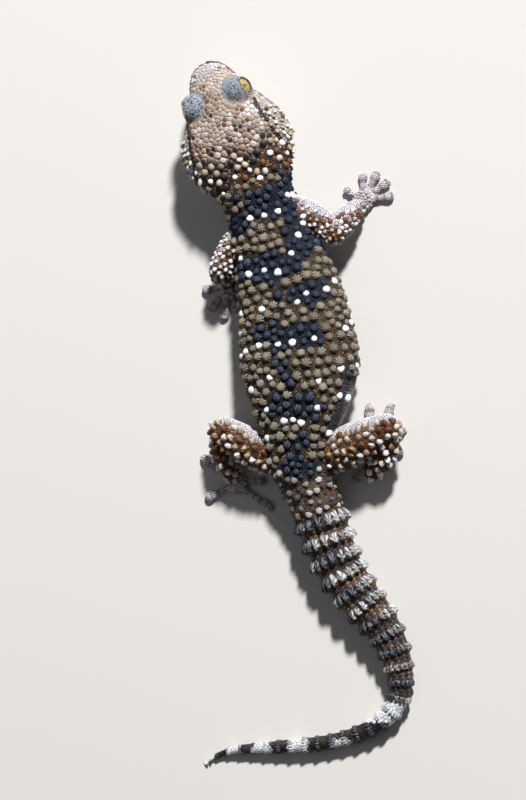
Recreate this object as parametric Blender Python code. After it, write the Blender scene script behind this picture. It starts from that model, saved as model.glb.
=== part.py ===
"""Bibron's thick-toed gecko at life size, lying along the floor with its head towards +Y.

Every flesh part is a loft along a course: a smooth line through a few hand-set stations, each with its place,
half width and half height. The animal is parted where a person would name its parts. Each part meets the one
that it grows from face to face, with a hairline gap. Keeled tubercles stand in rows over the back and in
whorls round the tail, and are fused with the part that carries them. Sizes are in millimetres until a mesh
is made, and the floor is the plane z = 0.
"""

import math
import random

import bmesh
import bpy
from mathutils import Matrix, Vector

MM = 0.001
UP = Vector((0, 0, 1))
GAP = 0.3

# The middle of the whole animal's box, over which the model's origin lies
BOX_MIDDLE = (0.95, 0.2)

# Stations along the back: x, y and height of the centre, half width, half height
TRUNK = [
    (-7.9, 46.3, 8.0, 8.1, 4.5),
    (-6.9, 43.0, 7.3, 7.3, 4.5),
    (-5.6, 39.0, 6.4, 7.1, 4.8),
    (-3.2, 32.2, 5.7, 8.8, 5.5),
    (-0.8, 23.5, 5.9, 10.5, 6.05),
    (0.8, 15.2, 6.1, 11.5, 6.3),
    (1.3, 10.0, 6.1, 11.8, 6.35),
    (1.35, 5.0, 5.9, 10.7, 6.15),
    (1.05, 0.0, 5.5, 9.0, 5.75),
    (0.95, -4.0, 5.1, 7.4, 5.35),
    (1.25, -8.4, 4.7, 6.7, 4.9),
    (2.4, -13.0, 4.2, 5.9, 4.35),
]
TAIL = [
    (4.0, -17.6, 3.75, 5.2, 3.9),
    (5.6, -22.5, 3.45, 5.1, 3.6),
    (7.4, -27.5, 3.25, 4.95, 3.4),
    (9.6, -32.0, 3.1, 4.65, 3.25),
    (12.8, -36.5, 2.9, 4.35, 3.05),
    (16.2, -40.6, 2.7, 3.95, 2.85),
    (18.9, -45.2, 2.45, 3.4, 2.6),
    (20.3, -49.0, 2.2, 2.95, 2.35),
    (20.9, -53.0, 1.95, 2.55, 2.1),
    (20.4, -56.8, 1.75, 2.25, 1.9),
    (18.2, -60.2, 1.6, 2.0, 1.75),
    (14.2, -62.9, 1.45, 1.8, 1.6),
    (9.5, -64.6, 1.35, 1.6, 1.5),
    (4.6, -65.7, 1.3, 1.55, 1.45),
    (-0.3, -66.2, 1.25, 1.5, 1.4),
    (-7.0, -66.7, 1.05, 1.25, 1.2),
    (-13.1, -67.2, 0.85, 0.95, 0.95),
    (-16.4, -68.2, 0.6, 0.7, 0.7),
    (-19.6, -70.1, 0.35, 0.25, 0.4),
]
TRUNK_SQUARENESS = 2.5
TRUNK_SEGMENTS, TRUNK_STEP = 24, 3.0
TAIL_SEGMENTS, TAIL_STEP = 14, 2.2

# Where the back is parted, as the y of each cut, and how many whorls of spines each length of the tail has
TRUNK_CUTS = {"neck": 38.5, "chest": 21.0, "belly": -4.6, "pelvis": -12.9}
WHORLS_IN_LENGTH = [4, 3, 3, 3, 2]
TAIL_TIP_CUT = 0.5

# Head: pitch up and turn to the left in degrees, and stations along it from nape to snout tip as
# distance forward, half width, rise above and drop below the head's axis
HEAD_TURN = 22.0
HEAD_PITCH = 3.0
HEAD_ROLL = -4.0
HEAD_SEGMENTS, HEAD_STEPS = 24, 14
HEAD = [
    (0.3, 8.2, 4.2, 4.6),
    (2.6, 9.7, 4.7, 5.1),
    (5.6, 11.2, 5.1, 5.3),
    (8.8, 11.5, 5.3, 5.1),
    (12.0, 10.5, 5.2, 4.7),
    (15.2, 8.6, 4.8, 4.3),
    (18.4, 6.6, 4.0, 4.0),
    (21.4, 5.0, 2.9, 3.5),
    (23.4, 4.1, 2.0, 3.0),
    (24.8, 2.95, 1.2, 2.4),
    (25.5, 1.9, 0.5, 1.8),
    (25.8, 0.9, 0.0, 1.3),
]
MOUTH = [(27.5, -1.1), (23.0, -1.2), (18.0, -1.5), (13.0, -1.8), (10.0, -1.3), (8.6, -2.6), (7.4, -8.0)]
LIP_BULGE, LIP_HEIGHT = 0.35, 0.9
EYE_AT = (18.2, 4.8, 1.9)
EYE_RADIUS = 2.35
LID_THICKNESS = 0.4
LID_OPENING = 2.45
GAZE = (0.12, 0.88, 0.45)
NOSTRIL_FORWARD, NOSTRIL_TURN, NOSTRIL_RADIUS = 23.9, 48, 0.45
EAR_AT, EAR_SIZE = (5.2, 10.9, -0.4), (0.75, 1.3, 1.7)

# Limbs: stations from the root, which is inside the trunk, to the joint or the palm
UPPER_ARM = {
    "right": [(-2.0, 41.6, 5.6, 3.2, 3.0), (3.6, 39.8, 5.9, 3.0, 2.9), (8.1, 36.7, 5.8, 2.8, 2.7)],
    "left": [(-9.4, 38.0, 5.6, 2.9, 2.8), (-12.2, 34.0, 6.0, 2.6, 2.6), (-14.7, 29.2, 6.2, 2.5, 2.5)],
}
FOREARM = {
    "right": [(8.1, 36.7, 5.6, 2.7, 2.6), (10.3, 39.2, 4.4, 2.6, 2.4), (12.0, 41.4, 2.5, 1.9, 1.6)],
    "left": [(-14.7, 29.2, 6.1, 2.4, 2.4), (-14.8, 27.8, 4.4, 2.3, 2.2), (-14.5, 26.8, 2.3, 1.8, 1.6)],
}
THIGH = {
    "right": [(4.0, -9.4, 4.5, 3.2, 2.8), (12.2, -5.6, 6.1, 4.2, 3.8), (18.9, -2.6, 6.9, 3.1, 3.0)],
    "left": [(-2.6, -9.8, 4.5, 3.1, 2.8), (-9.6, -5.9, 5.9, 3.7, 3.5), (-14.2, -3.1, 6.4, 3.0, 2.9)],
}
SHANK = {
    "right": [(18.9, -2.6, 6.5, 2.9, 2.8), (18.0, -7.6, 4.7, 2.8, 2.6), (15.3, -11.4, 2.4, 1.9, 1.7)],
    "left": [(-14.2, -3.1, 6.0, 2.8, 2.8), (-14.6, -7.6, 4.4, 2.4, 2.3), (-13.4, -11.8, 2.4, 1.8, 1.7)],
}
LIMB_SEGMENTS, LIMB_SQUARENESS = 12, 2.1

# Hands and feet: the middle of the palm, how far its webbing reaches, and where each digit ends, inner first
PALM_RADIUS, PALM_STEP = 2.1, 0.45
PALM_SECTION = [(0.96, 0.0), (1.0, 0.5), (0.92, 1.1), (0.55, 2.0)]
DIGIT_HEIGHT = 1.25
DIGIT_STOPS = (0.0, 0.35, 0.7, 0.93, 1.0)
DIGIT_PROFILE = [(0.0, 0.62), (0.3, 0.66), (0.6, 0.98), (0.8, 1.04), (0.95, 0.74), (1.0, 0.3)]
HANDS = {
    "hand_right": ((12.9, 42.7), 3.2, [(9.4, 45.2), (13.0, 48.3), (16.0, 48.6), (18.4, 46.8), (19.2, 43.9)]),
    "hand_left": ((-14.4, 25.9), 2.6, [(-16.4, 30.0), (-19.8, 25.1), (-18.5, 20.8), (-15.6, 19.0), (-12.4, 20.5)]),
    "foot_right": ((15.4, -8.0), 3.1, [(11.2, -13.4), (14.1, 2.4), (18.9, 2.5), (21.6, -2.4), (21.2, -7.2)]),
    "foot_left": ((-12.9, -13.7), 3.0, [(-13.6, -7.4), (-20.2, -8.2), (-19.2, -16.8), (-5.4, -19.0), (-7.0, -13.1)]),
}
DIGIT_NAMES = {"hand": "finger", "foot": "toe"}

# Keeled tubercles: spacing over the skin, radius, height, and how far the tip leans back
BACK_KIND, BACK_REACH = (2.45, 0.82, 0.75, 0.45), 0.92
LIMB_KIND, LIMB_REACH = (2.5, 0.7, 0.6, 0.3), 0.75
TEMPLE_KIND, TEMPLE_REACH, TEMPLE_ROUND = (2.3, 0.75, 0.55, 0.2), 8.2, 0.9
WHORL_ANGLES = (8, 41, 74, 106, 139, 172)
SPINE_RADIUS, SPINE_HEIGHT, SPINE_LEAN = 0.2, 0.27, 0.25
SIDES, SINK = 5, 0.3
CLEARANCE, END_MARGIN, PIT_MARGIN = 0.9, 1.35, 2.4

COLOURS = {
    "back": ((0.09, 0.09, 0.1), 0.62),
    "head": ((0.5, 0.42, 0.35), 0.58),
    "tail": ((0.2, 0.17, 0.15), 0.6),
    "limb": ((0.36, 0.29, 0.24), 0.6),
    "pad": ((0.62, 0.58, 0.6), 0.7),
    "eye": ((0.55, 0.4, 0.12), 0.12),
}


class Course:
    """A smooth line through stations, read by the distance along it. Each station is a place and its sizes."""

    def __init__(self, stations, start=None):
        self.stations = [Vector(s) for s in stations]
        self.marks = [0.0]
        for a, b in zip(self.stations, self.stations[1:]):
            self.marks.append(self.marks[-1] + (b.xyz - a.xyz).length)
        self.length = self.marks[-1]
        self.slopes = [self._slope(i) for i in range(len(self.stations))]
        if start is not None:
            self.slopes[0] = Vector((*start, *self.slopes[0][3:]))

    def _slope(self, i):
        low, high = max(i - 1, 0), min(i + 1, len(self.stations) - 1)
        return (self.stations[high] - self.stations[low]) / (self.marks[high] - self.marks[low])

    def at(self, distance):
        """The station at a distance along the course, and how fast it changes there."""
        distance = min(max(distance, 0.0), self.length)
        i = max(k for k in range(len(self.marks) - 1) if self.marks[k] <= distance)
        span = self.marks[i + 1] - self.marks[i]
        t = (distance - self.marks[i]) / span
        a, b, m, n = self.stations[i], self.stations[i + 1], self.slopes[i] * span, self.slopes[i + 1] * span
        value = (
            a * (2 * t**3 - 3 * t**2 + 1)
            + m * (t**3 - 2 * t**2 + t)
            + b * (3 * t**2 - 2 * t**3)
            + n * (t**3 - t**2)
        )
        rate = a * (6 * t**2 - 6 * t) + m * (3 * t**2 - 4 * t + 1) + b * (6 * t - 6 * t**2) + n * (3 * t**2 - 2 * t)
        return value, rate

    def read(self, distance):
        """The place, forward direction, half width and half height at a distance along the course."""
        value, rate = self.at(distance)
        return value.xyz, rate.xyz.normalized(), max(value[3], 0.1), max(value[4], 0.1)

    def nearest(self, y):
        """The distance at which the course first reaches down to this y."""
        steps = [self.length * k / 400 for k in range(401)]
        return next(d for d in steps if self.read(d)[0].y <= y)


def rounded(angle, width, rise, drop, squareness):
    """A point of a squarish oval whose upper and lower halves may differ."""
    c, s = math.cos(angle), math.sin(angle)
    tall = rise if s >= 0 else drop
    power = 2 / squareness
    return math.copysign(abs(c) ** power, c) * width, math.copysign(abs(s) ** power, s) * tall


def ring(course, distance, segments, grow=0.0, squareness=TRUNK_SQUARENESS, rests=True):
    """The outline round a course at one distance, flattened where it rests on the floor."""
    centre, forward, width, height = course.read(distance)
    side = forward.cross(UP).normalized()
    over = side.cross(forward)
    points = []
    for k in range(segments):
        angle = 2 * math.pi * (k + 0.5) / segments
        across, rise = rounded(angle, width + grow, height + grow, height + grow, squareness)
        point = centre + side * across + over * rise
        if rests:
            point.z = max(point.z, 0.0)
        points.append(point)
    return points


def solid(name, points, faces, colour="back", origin=(0, 0, 0)):
    """A closed mesh object from points in millimetres, with its origin where the part joins its neighbour."""
    origin = Vector(origin)
    middle = Vector((*BOX_MIDDLE, 0))
    mesh = bpy.data.meshes.new(name)
    mesh.from_pydata([(Vector(p) - origin) * MM for p in points], [], faces)
    shell = bmesh.new()
    shell.from_mesh(mesh)
    bmesh.ops.recalc_face_normals(shell, faces=shell.faces)
    bmesh.ops.triangulate(shell, faces=shell.faces)
    shell.to_mesh(mesh)
    shell.free()
    shade(mesh)
    obj = bpy.data.objects.new(name, mesh)
    obj.location = (origin - middle) * MM
    bpy.context.scene.collection.objects.link(obj)
    obj.data.materials.append(material(colour))
    return obj


def shade(mesh):
    """Smooth shading, with sharp edges where faces meet at more than 40 degrees."""
    mesh.shade_smooth()
    mesh.set_sharp_from_angle(angle=math.radians(40))


def material(name):
    """The plain finish of one kind of skin."""
    found = bpy.data.materials.get(name)
    if found:
        return found
    (red, green, blue), roughness = COLOURS[name]
    made = bpy.data.materials.new(name)
    made.use_nodes = True
    shader = made.node_tree.nodes["Principled BSDF"]
    shader.inputs["Base Color"].default_value = (red, green, blue, 1)
    shader.inputs["Roughness"].default_value = roughness
    shader.inputs["Metallic"].default_value = 0.0
    return made


def lofted(name, rings, colour="back", origin=None):
    """A solid through rings of equal count, closed at each end by a fan."""
    count = len(rings[0])
    points = [p for r in rings for p in r]
    faces = []
    for i in range(len(rings) - 1):
        for k in range(count):
            n = (k + 1) % count
            faces.append((i * count + k, i * count + n, (i + 1) * count + n, (i + 1) * count + k))
    for row in (0, len(rings) - 1):
        middle = len(points)
        points.append(sum((Vector(p) for p in rings[row]), Vector()) / count)
        faces += [(row * count + k, row * count + (k + 1) % count, middle) for k in range(count)]
    return solid(name, points, faces, colour, rings[0][0] if origin is None else origin)


def combined(obj, others, operation, solver="EXACT"):
    """Fuses closed objects with this one or cuts them from it, applies that and removes them."""
    group = bpy.data.collections.new("pieces")
    bpy.context.scene.collection.children.link(group)
    for other in others:
        group.objects.link(other)
    modifier = obj.modifiers.new(operation.lower(), "BOOLEAN")
    modifier.operand_type = "COLLECTION"
    modifier.collection = group
    modifier.operation = operation
    modifier.solver = solver
    bpy.context.view_layer.update()
    evaluated = obj.evaluated_get(bpy.context.evaluated_depsgraph_get())
    mesh = bpy.data.meshes.new_from_object(evaluated)
    obj.modifiers.clear()
    obj.data = mesh
    for other in others:
        bpy.data.objects.remove(other)
    bpy.data.collections.remove(group)
    keep_largest(obj)
    shade(obj.data)
    return obj


def keep_largest(obj):
    """Leaves only the closed surface that holds the most volume."""
    shell = bmesh.new()
    shell.from_mesh(obj.data)
    bmesh.ops.triangulate(shell, faces=shell.faces)
    left, islands = set(shell.faces), []
    while left:
        island, edge_of = set(), [left.pop()]
        while edge_of:
            face = edge_of.pop()
            island.add(face)
            for edge in face.edges:
                for other in edge.link_faces:
                    if other in left:
                        left.remove(other)
                        edge_of.append(other)
        islands.append(island)

    def volume(island):
        return sum(f.verts[0].co.dot(f.verts[1].co.cross(f.verts[2].co)) for f in island)

    largest = max(islands, key=volume)
    dropped = [f for island in islands if island is not largest for f in island]
    bmesh.ops.delete(shell, geom=dropped, context="FACES")
    shell.to_mesh(obj.data)
    shell.free()


def prism(name, outline, half_depth, place):
    """An outline in the head's upright plane, drawn out to both sides."""
    count = len(outline)
    points = [place @ Vector((s * half_depth, u, w)) for s in (-1, 1) for u, w in outline]
    sides = [(k, (k + 1) % count, count + (k + 1) % count, count + k) for k in range(count)]
    return solid(name, points, [tuple(range(count)), tuple(range(count, 2 * count)), *sides])


def ellipsoid(name, place, radii, columns=12, rows=8, colour="back"):
    """A ball stretched to three radii, set by a matrix."""
    points, faces = [], []
    for i in range(1, rows):
        polar = math.pi * i / rows
        for k in range(columns):
            turn = 2 * math.pi * k / columns
            unit = (math.sin(polar) * math.cos(turn), math.sin(polar) * math.sin(turn), math.cos(polar))
            points.append(place @ Vector([r * c for r, c in zip(radii, unit)]))
    for i in range(rows - 2):
        for k in range(columns):
            n = (k + 1) % columns
            faces.append((i * columns + k, i * columns + n, (i + 1) * columns + n, (i + 1) * columns + k))
    for row, pole in ((0, radii[2]), (rows - 2, -radii[2])):
        points.append(place @ Vector((0, 0, pole)))
        faces += [(row * columns + k, row * columns + (k + 1) % columns, len(points) - 1) for k in range(columns)]
    return solid(name, points, faces, colour, place.translation)


def tubercle(at, normal, back, radius, height, lean):
    """A keeled scale: a five-sided point, sunk in the skin at its root and leaning back at its tip."""
    size = random.uniform(0.85, 1.12)
    across = normal.cross(back).normalized()
    along = across.cross(normal)
    start = random.uniform(-0.3, 0.3)
    spread = 1 + SINK / height
    points = []
    for k in range(SIDES):
        turn = math.tau * k / SIDES + start
        out = across * math.cos(turn) + along * math.sin(turn)
        points.append(at + out * radius * size * spread - normal * SINK)
    points.append(at + (normal * height + back * lean) * size)
    faces = [tuple(range(SIDES)), *((k, (k + 1) % SIDES, SIDES) for k in range(SIDES))]
    return solid("tubercle", points, faces, origin=at)


class Skin:
    """The skin round a course, or any other that is given as a place for each distance back and angle."""

    def __init__(self, course, squareness=TRUNK_SQUARENESS):
        self.course, self.squareness = course, squareness

    def place(self, distance, angle):
        centre, forward, width, height = self.course.read(distance)
        side = forward.cross(UP).normalized()
        across, rise = rounded(angle, width, height, height, self.squareness)
        return centre + side * across + side.cross(forward) * rise

    def read(self, distance, angle):
        """The skin's place, outward normal and backward direction at an angle, 90 degrees on top."""
        step = 0.05
        point = self.place(distance, angle)
        back = (self.place(distance + step, angle) - self.place(distance - step, angle)).normalized()
        round_ = self.place(distance, angle + step) - self.place(distance, angle - step)
        normal = round_.cross(back).normalized()
        middle = (self.place(distance, 0) + self.place(distance, math.pi)) / 2
        return point, (normal if normal.dot(point - middle) > 0 else -normal), back


class HeadSkin(Skin):
    """The skin of the head, whose distances back are minus those forward of the nape."""

    def __init__(self, place):
        self.frame = place

    def place(self, distance, angle):
        return head_point(self.frame, -distance, angle)


def spread_round(skin, distance, reach, pitch, offset):
    """Angles that lie a pitch apart over the skin on both sides of the top, down to a share of the quarter turn."""
    found = []
    for side in (-1, 1):
        wanted = offset if side > 0 else pitch - offset
        step, travelled, angle = math.radians(2), 0.0, math.pi / 2
        last = skin.place(distance, angle)
        for _ in range(round(reach * 45)):
            angle -= step * side
            point = skin.place(distance, angle)
            travelled += (point - last).length
            last = point
            if travelled >= wanted:
                found.append(angle)
                wanted += pitch
    return found


def stands_clear(point, lines, margin):
    """Whether a point is outside every limb or trunk given as a course and its squareness."""
    for course, squareness in lines:
        distances = [course.length * k / 60 for k in range(61)]
        near = min(distances, key=lambda d: (course.read(d)[0] - point).length_squared)
        centre, forward, width, height = course.read(near)
        side = forward.cross(UP).normalized()
        to = point - centre
        beyond = max(0.0, abs(to.dot(forward)) - margin)
        across, rise = abs(to.dot(side)), abs(to.dot(side.cross(forward)))
        fill = (across / (width + margin)) ** squareness + (rise / (height + margin)) ** squareness
        if fill < 1 and beyond < min(width, height):
            return False
    return True


def rows_of_tubercles(skin, low, high, kind, reach, avoid=(), pits=()):
    """Tubercles in staggered rows over the upper skin between two distances, clear of limbs and pits."""
    pitch, radius, height, lean = kind
    made = []
    count = int((high - low - 2 * END_MARGIN) / pitch) + 1
    spare = (high - low - (count - 1) * pitch) / 2
    for row in range(count):
        distance = low + spare + row * pitch
        for angle in spread_round(skin, distance, reach, pitch, pitch / 2 if row % 2 else 0.01):
            there, turn = distance + random.uniform(-0.12, 0.12), angle + random.uniform(-0.02, 0.02)
            point, normal, back = skin.read(there, turn)
            near_pit = any((point - pit).length < PIT_MARGIN for pit in pits)
            if not near_pit and stands_clear(point, avoid, CLEARANCE):
                made.append(tubercle(point, normal, back, radius, height, lean))
    return made


def body_course():
    """The course of the whole back, from nape to tail tip, which leaves the head along the head's own axis."""
    return Course(TRUNK + TAIL, start=-head_place().to_3x3().col[1])


def head_place():
    """The head's frame: x to its right, y along the snout, z out of its crown, with the nape at its origin."""
    turn = Matrix.Rotation(math.radians(HEAD_TURN), 4, "Z")
    pitch = Matrix.Rotation(math.radians(HEAD_PITCH), 4, "X")
    roll = Matrix.Rotation(math.radians(HEAD_ROLL), 4, "Y")
    return Matrix.Translation(Vector(TRUNK[0][:3])) @ turn @ pitch @ roll


def mouth_height(forward):
    """How high the mouth line runs in the head's frame, at a distance forward of the nape."""
    line = sorted(MOUTH[:5])
    for (a, p), (b, q) in zip(line, line[1:]):
        if forward <= b:
            return p + (q - p) * max(0.0, (forward - a) / (b - a))
    return line[-1][1]


def head_section(forward):
    """Half width, rise and drop of the head at a distance forward of the nape."""
    line = Course([(0, f, 0, w, r, d) for f, w, r, d in HEAD])
    value, _ = line.at(forward - HEAD[0][0])
    return value[3], value[4], value[5]


def head_point(place, forward, angle):
    """A place on the head's skin, with the lips swelling along the mouth line."""
    width, rise, drop = head_section(forward)
    middle = (rise - drop) / 2
    across, up = rounded(angle, width, rise - middle, drop + middle, 2.35)
    height = up + middle
    if forward > 10 and width > 1:
        nearness = math.exp(-(((height - mouth_height(forward)) / LIP_HEIGHT) ** 2))
        across += math.copysign(LIP_BULGE * nearness, across)
    return place @ Vector((across, forward, height))


def head_rings(place):
    """The head's outlines from nape to snout tip, closer together towards the tip."""
    first, last = HEAD[0][0], HEAD[-1][0]
    rings = []
    for k in range(HEAD_STEPS + 1):
        forward = first + (last - first) * math.sin(math.pi / 2 * k / HEAD_STEPS)
        turns = [math.tau * (j + 0.5) / HEAD_SEGMENTS for j in range(HEAD_SEGMENTS)]
        rings.append([head_point(place, forward, turn) for turn in turns])
    return rings


def aimed(place, at, direction):
    """A matrix at a place in the head's frame whose z axis runs along a direction there."""
    turned = Vector(direction).to_track_quat("Z", "Y").to_matrix().to_4x4()
    return place @ Matrix.Translation(Vector(at)) @ turned


def build_head():
    """The head with its brows, lids, nostrils and ear pits, the lower jaw parted along the mouth, and the eyes."""
    place = head_place()
    rings = head_rings(place)
    head = lofted("head", rings, "head", place.translation)
    brows, pits, ears = [], [], []
    for sign in (-1, 1):
        eye = Vector((EYE_AT[1] * sign, EYE_AT[0], EYE_AT[2]))
        gaze = Vector((GAZE[1] * sign, GAZE[0], GAZE[2]))
        outer = EYE_RADIUS + GAP + LID_THICKNESS
        brows.append(ellipsoid("brow", aimed(place, eye, gaze), (outer,) * 3, 16, 10))
        socket = EYE_RADIUS + GAP
        pits.append(ellipsoid("socket", aimed(place, eye, gaze), (socket,) * 3, 12, 8))
        mouth_of_lid = eye + gaze.normalized() * (EYE_RADIUS + 1.2)
        pits.append(ellipsoid("opening", aimed(place, mouth_of_lid, gaze), (LID_OPENING, LID_OPENING, 1.7), 16, 6))
        nostril = head_point(Matrix(), NOSTRIL_FORWARD, math.radians(90 - NOSTRIL_TURN * sign))
        pits.append(ellipsoid("nostril", aimed(place, nostril, (sign, 0.5, 0.6)), (NOSTRIL_RADIUS,) * 3, 7, 5))
        ear = Matrix.Translation(Vector((EAR_AT[1] * sign, EAR_AT[0], EAR_AT[2])))
        depth, length, height = EAR_SIZE[1], EAR_SIZE[0], EAR_SIZE[2]
        pits.append(ellipsoid("ear", place @ ear, (depth, length, height), 8, 6))
        ears.append((place @ ear).translation)
    combined(head, brows, "UNION")
    temples = rows_of_tubercles(HeadSkin(place), -TEMPLE_REACH, -HEAD[0][0], TEMPLE_KIND, TEMPLE_ROUND, pits=ears)
    combined(head, temples, "UNION", "MANIFOLD")
    combined(head, pits, "DIFFERENCE")

    below = [*MOUTH, (7.4, -14), (27.5, -14)]
    half = GAP / 2
    lowered = [(u, w - half) if w > -7 else (u + half, w) for u, w in below]
    raised = [(u, w + half) if w > -7 else (u - half, w) for u, w in below]
    jaw = lofted("jaw", rings, "head", place.translation)
    combined(jaw, [prism("under", lowered, 20, place)], "INTERSECT")
    combined(head, [prism("mouth", raised, 20, place)], "DIFFERENCE")

    for name, sign in (("eye_left", -1), ("eye_right", 1)):
        eye = Vector((EYE_AT[1] * sign, EYE_AT[0], EYE_AT[2]))
        gaze = Vector((GAZE[1] * sign, GAZE[0], GAZE[2]))
        ellipsoid(name, aimed(place, eye, gaze), (EYE_RADIUS,) * 3, 14, 8, "eye")
    return [head, jaw]


def limb_lines():
    """The courses of the upper limbs, which the trunk's tubercles keep clear of."""
    return [(Course(stations), LIMB_SQUARENESS) for part in (UPPER_ARM, THIGH) for stations in part.values()]


def stops(low, high, step):
    """Evenly spread distances from one end of a length to the other."""
    count = max(2, round((high - low) / step))
    return [low + (high - low) * k / count for k in range(count + 1)]


def build_trunk(course):
    """Neck, chest, belly and pelvis, each a length of the back, and the distances of all their rings."""
    start, nodes, marks, avoid = 0.0, [], [], limb_lines()
    for name, y in TRUNK_CUTS.items():
        end = course.nearest(y)
        distances = stops(start + (GAP / 2 if start else 0), end - GAP / 2, TRUNK_STEP)
        node = lofted(name, [ring(course, d, TRUNK_SEGMENTS) for d in distances], "back")
        grain = rows_of_tubercles(Skin(course), distances[0], distances[-1], BACK_KIND, BACK_REACH, avoid)
        nodes.append(combined(node, grain, "UNION", "MANIFOLD"))
        marks += distances
        start = end
    return nodes, marks


def whorl_distances(course, root):
    """Where the tail's whorls stand, closer together as it tapers."""
    found, distance = [], root + 2.4
    for _ in range(sum(WHORLS_IN_LENGTH)):
        found.append(distance)
        distance += 2.2 + 0.33 * course.read(distance)[2]
    return [*found, distance]


def whorl(course, distance, avoid):
    """A ring of spines round the upper side of the tail, which point outwards and back."""
    width = course.read(distance)[2]
    made = []
    for degrees in WHORL_ANGLES:
        angle = math.radians(degrees + random.uniform(-3, 3))
        point, normal, back = Skin(course).read(distance, angle)
        edge = abs(math.cos(angle))
        shape = (SPINE_RADIUS * width, SPINE_HEIGHT * width * (0.75 + 0.35 * edge), SPINE_LEAN * width)
        if stands_clear(point, avoid, CLEARANCE):
            made.append(tubercle(point, normal, back, *shape))
    return made


def build_tail(course, root):
    """The tail in lengths that each hold a few whorls of spines, and the distances of all their rings."""
    whorls, avoid = whorl_distances(course, root), limb_lines()
    ends, passed = [], 0
    for count in WHORLS_IN_LENGTH:
        passed += count
        ends.append(whorls[passed] - 0.35 * (whorls[passed] - whorls[passed - 1]))
    ends += [ends[-1] + (course.length - ends[-1]) * TAIL_TIP_CUT, course.length + GAP / 2]
    start, nodes, marks = root, [], []
    for number, end in enumerate(ends, 1):
        distances = stops(start + GAP / 2, end - GAP / 2, TAIL_STEP)
        node = lofted(f"tail_{number}", [ring(course, d, TAIL_SEGMENTS) for d in distances], "tail")
        spines = [s for w in whorls[:-1] if start < w < end for s in whorl(course, w, avoid)]
        nodes.append(combined(node, spines, "UNION", "MANIFOLD") if spines else node)
        marks += distances
        start = end
    return nodes, marks


def grown(course, marks):
    """A cutter that stands a gap off the trunk's skin."""
    rings = [ring(course, d, TRUNK_SEGMENTS, GAP, rests=False) for d in marks]
    return lofted("cutter", rings)


def limb_rings(stations, segments, grow=0.0, count=5, rests=True):
    """Rings along a limb with a round end, for a part or for a cutter round it."""
    course = Course(stations)
    rings = []
    for k in range(count + 1):
        rings.append(ring(course, course.length * k / count, segments, grow, LIMB_SQUARENESS, rests))
    centre, forward, width, height = course.read(course.length)
    side = forward.cross(UP).normalized()
    over = side.cross(forward)
    for step in (35, 62, 82):
        turn = math.radians(step)
        reach, shrink = math.sin(turn), math.cos(turn)
        middle = centre + forward * reach * (min(width, height) + grow)
        points = []
        for k in range(segments):
            angle = 2 * math.pi * (k + 0.5) / segments
            tall = (height + grow) * shrink
            across, rise = rounded(angle, (width + grow) * shrink, tall, tall, LIMB_SQUARENESS)
            point = middle + side * across + over * rise
            if rests:
                point.z = max(point.z, 0.0)
            points.append(point)
        rings.append(points)
    return rings


def build_limb(names, first, second, course, marks):
    """An upper and a lower limb: the upper is cut to the trunk's skin, and the lower to the upper's."""
    trunk = (course, TRUNK_SQUARENESS)
    one, two = (Course(first), LIMB_SQUARENESS), (Course(second), LIMB_SQUARENESS)
    upper = lofted(names[0], limb_rings(first, LIMB_SEGMENTS), "limb", first[0][:3])
    lower = lofted(names[1], limb_rings(second, LIMB_SEGMENTS), "limb", second[0][:3])
    for limb, line, other in ((upper, one, two), (lower, two, one)):
        grain = rows_of_tubercles(Skin(*line), 0, line[0].length, LIMB_KIND, LIMB_REACH, [trunk, other])
        if grain:
            combined(limb, grain, "UNION", "MANIFOLD")
    combined(upper, [grown(course, marks)], "DIFFERENCE")
    combined(lower, [limb_cutter(first), grown(course, marks)], "DIFFERENCE")
    return [upper, lower]


def limb_cutter(stations):
    """A cutter that stands a gap off a limb's skin."""
    return lofted("cutter", limb_rings(stations, LIMB_SEGMENTS, GAP, rests=False))


def digit_rings(centre, web, tip, grow=0.0, segments=8, rests=True):
    """Rings along one digit, from the edge of the web to its round tip, with its pad widest near the end."""
    root = Vector((*centre, 0))
    end = Vector((*tip, 0))
    along = (end - root).normalized()
    length = (end - root).length - web
    stations = []
    for share, width in DIGIT_PROFILE:
        height = DIGIT_HEIGHT / 2 * (1 if share < 0.95 else 0.75 if share < 1 else 0.4)
        place = root + along * (web + length * share)
        stations.append((place.x, place.y, height - 0.08, width, height))
    line = Course(stations)
    return [ring(line, line.length * share, segments, grow, 2.2, rests) for share in DIGIT_STOPS]


def palm_outline(centre, web, tips):
    """The palm's edge as turns and radii: a blunt arm towards each digit, dips between them and a round heel."""
    ways = [math.atan2(y - centre[1], x - centre[0]) for x, y in tips]
    half = math.atan(DIGIT_PROFILE[0][1] / web)
    edge = []
    for way in ways:
        reach = web - GAP
        edge += [(way - half, reach / math.cos(half)), (way, reach), (way + half, reach / math.cos(half))]
    edge = sorted((turn % math.tau, reach) for turn, reach in edge)
    dips = []
    for (a, _), (b, _) in zip(edge, [*edge[1:], (edge[0][0] + math.tau, 0)]):
        count = round((b - a) / PALM_STEP) if b - a > 1.2 * half else 0
        dips += [((a + (b - a) * (k + 1) / (count + 1)) % math.tau, PALM_RADIUS) for k in range(count)]
    return sorted(edge + dips)


def build_palm(name, centre, outline):
    """A low pad on the floor inside an outline, with a steep edge and a domed top."""
    middle = Vector((*centre, 0))
    points, faces = [], []
    for share, height in PALM_SECTION:
        for turn, reach in outline:
            out = Vector((math.cos(turn), math.sin(turn), 0)) * reach * share
            lowered = 1 if share < 0.7 else min(1, 1.25 * PALM_RADIUS / reach)
            points.append(middle + out + UP * height * lowered)
    count, rows = len(outline), len(PALM_SECTION)
    for i in range(rows - 1):
        for k in range(count):
            n = (k + 1) % count
            faces.append((i * count + k, i * count + n, (i + 1) * count + n, (i + 1) * count + k))
    for row, height in ((0, 0.0), (rows - 1, PALM_SECTION[-1][1])):
        points.append(middle + UP * height)
        faces += [(row * count + k, row * count + (k + 1) % count, len(points) - 1) for k in range(count)]
    return solid(name, points, faces, "limb", middle)


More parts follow.
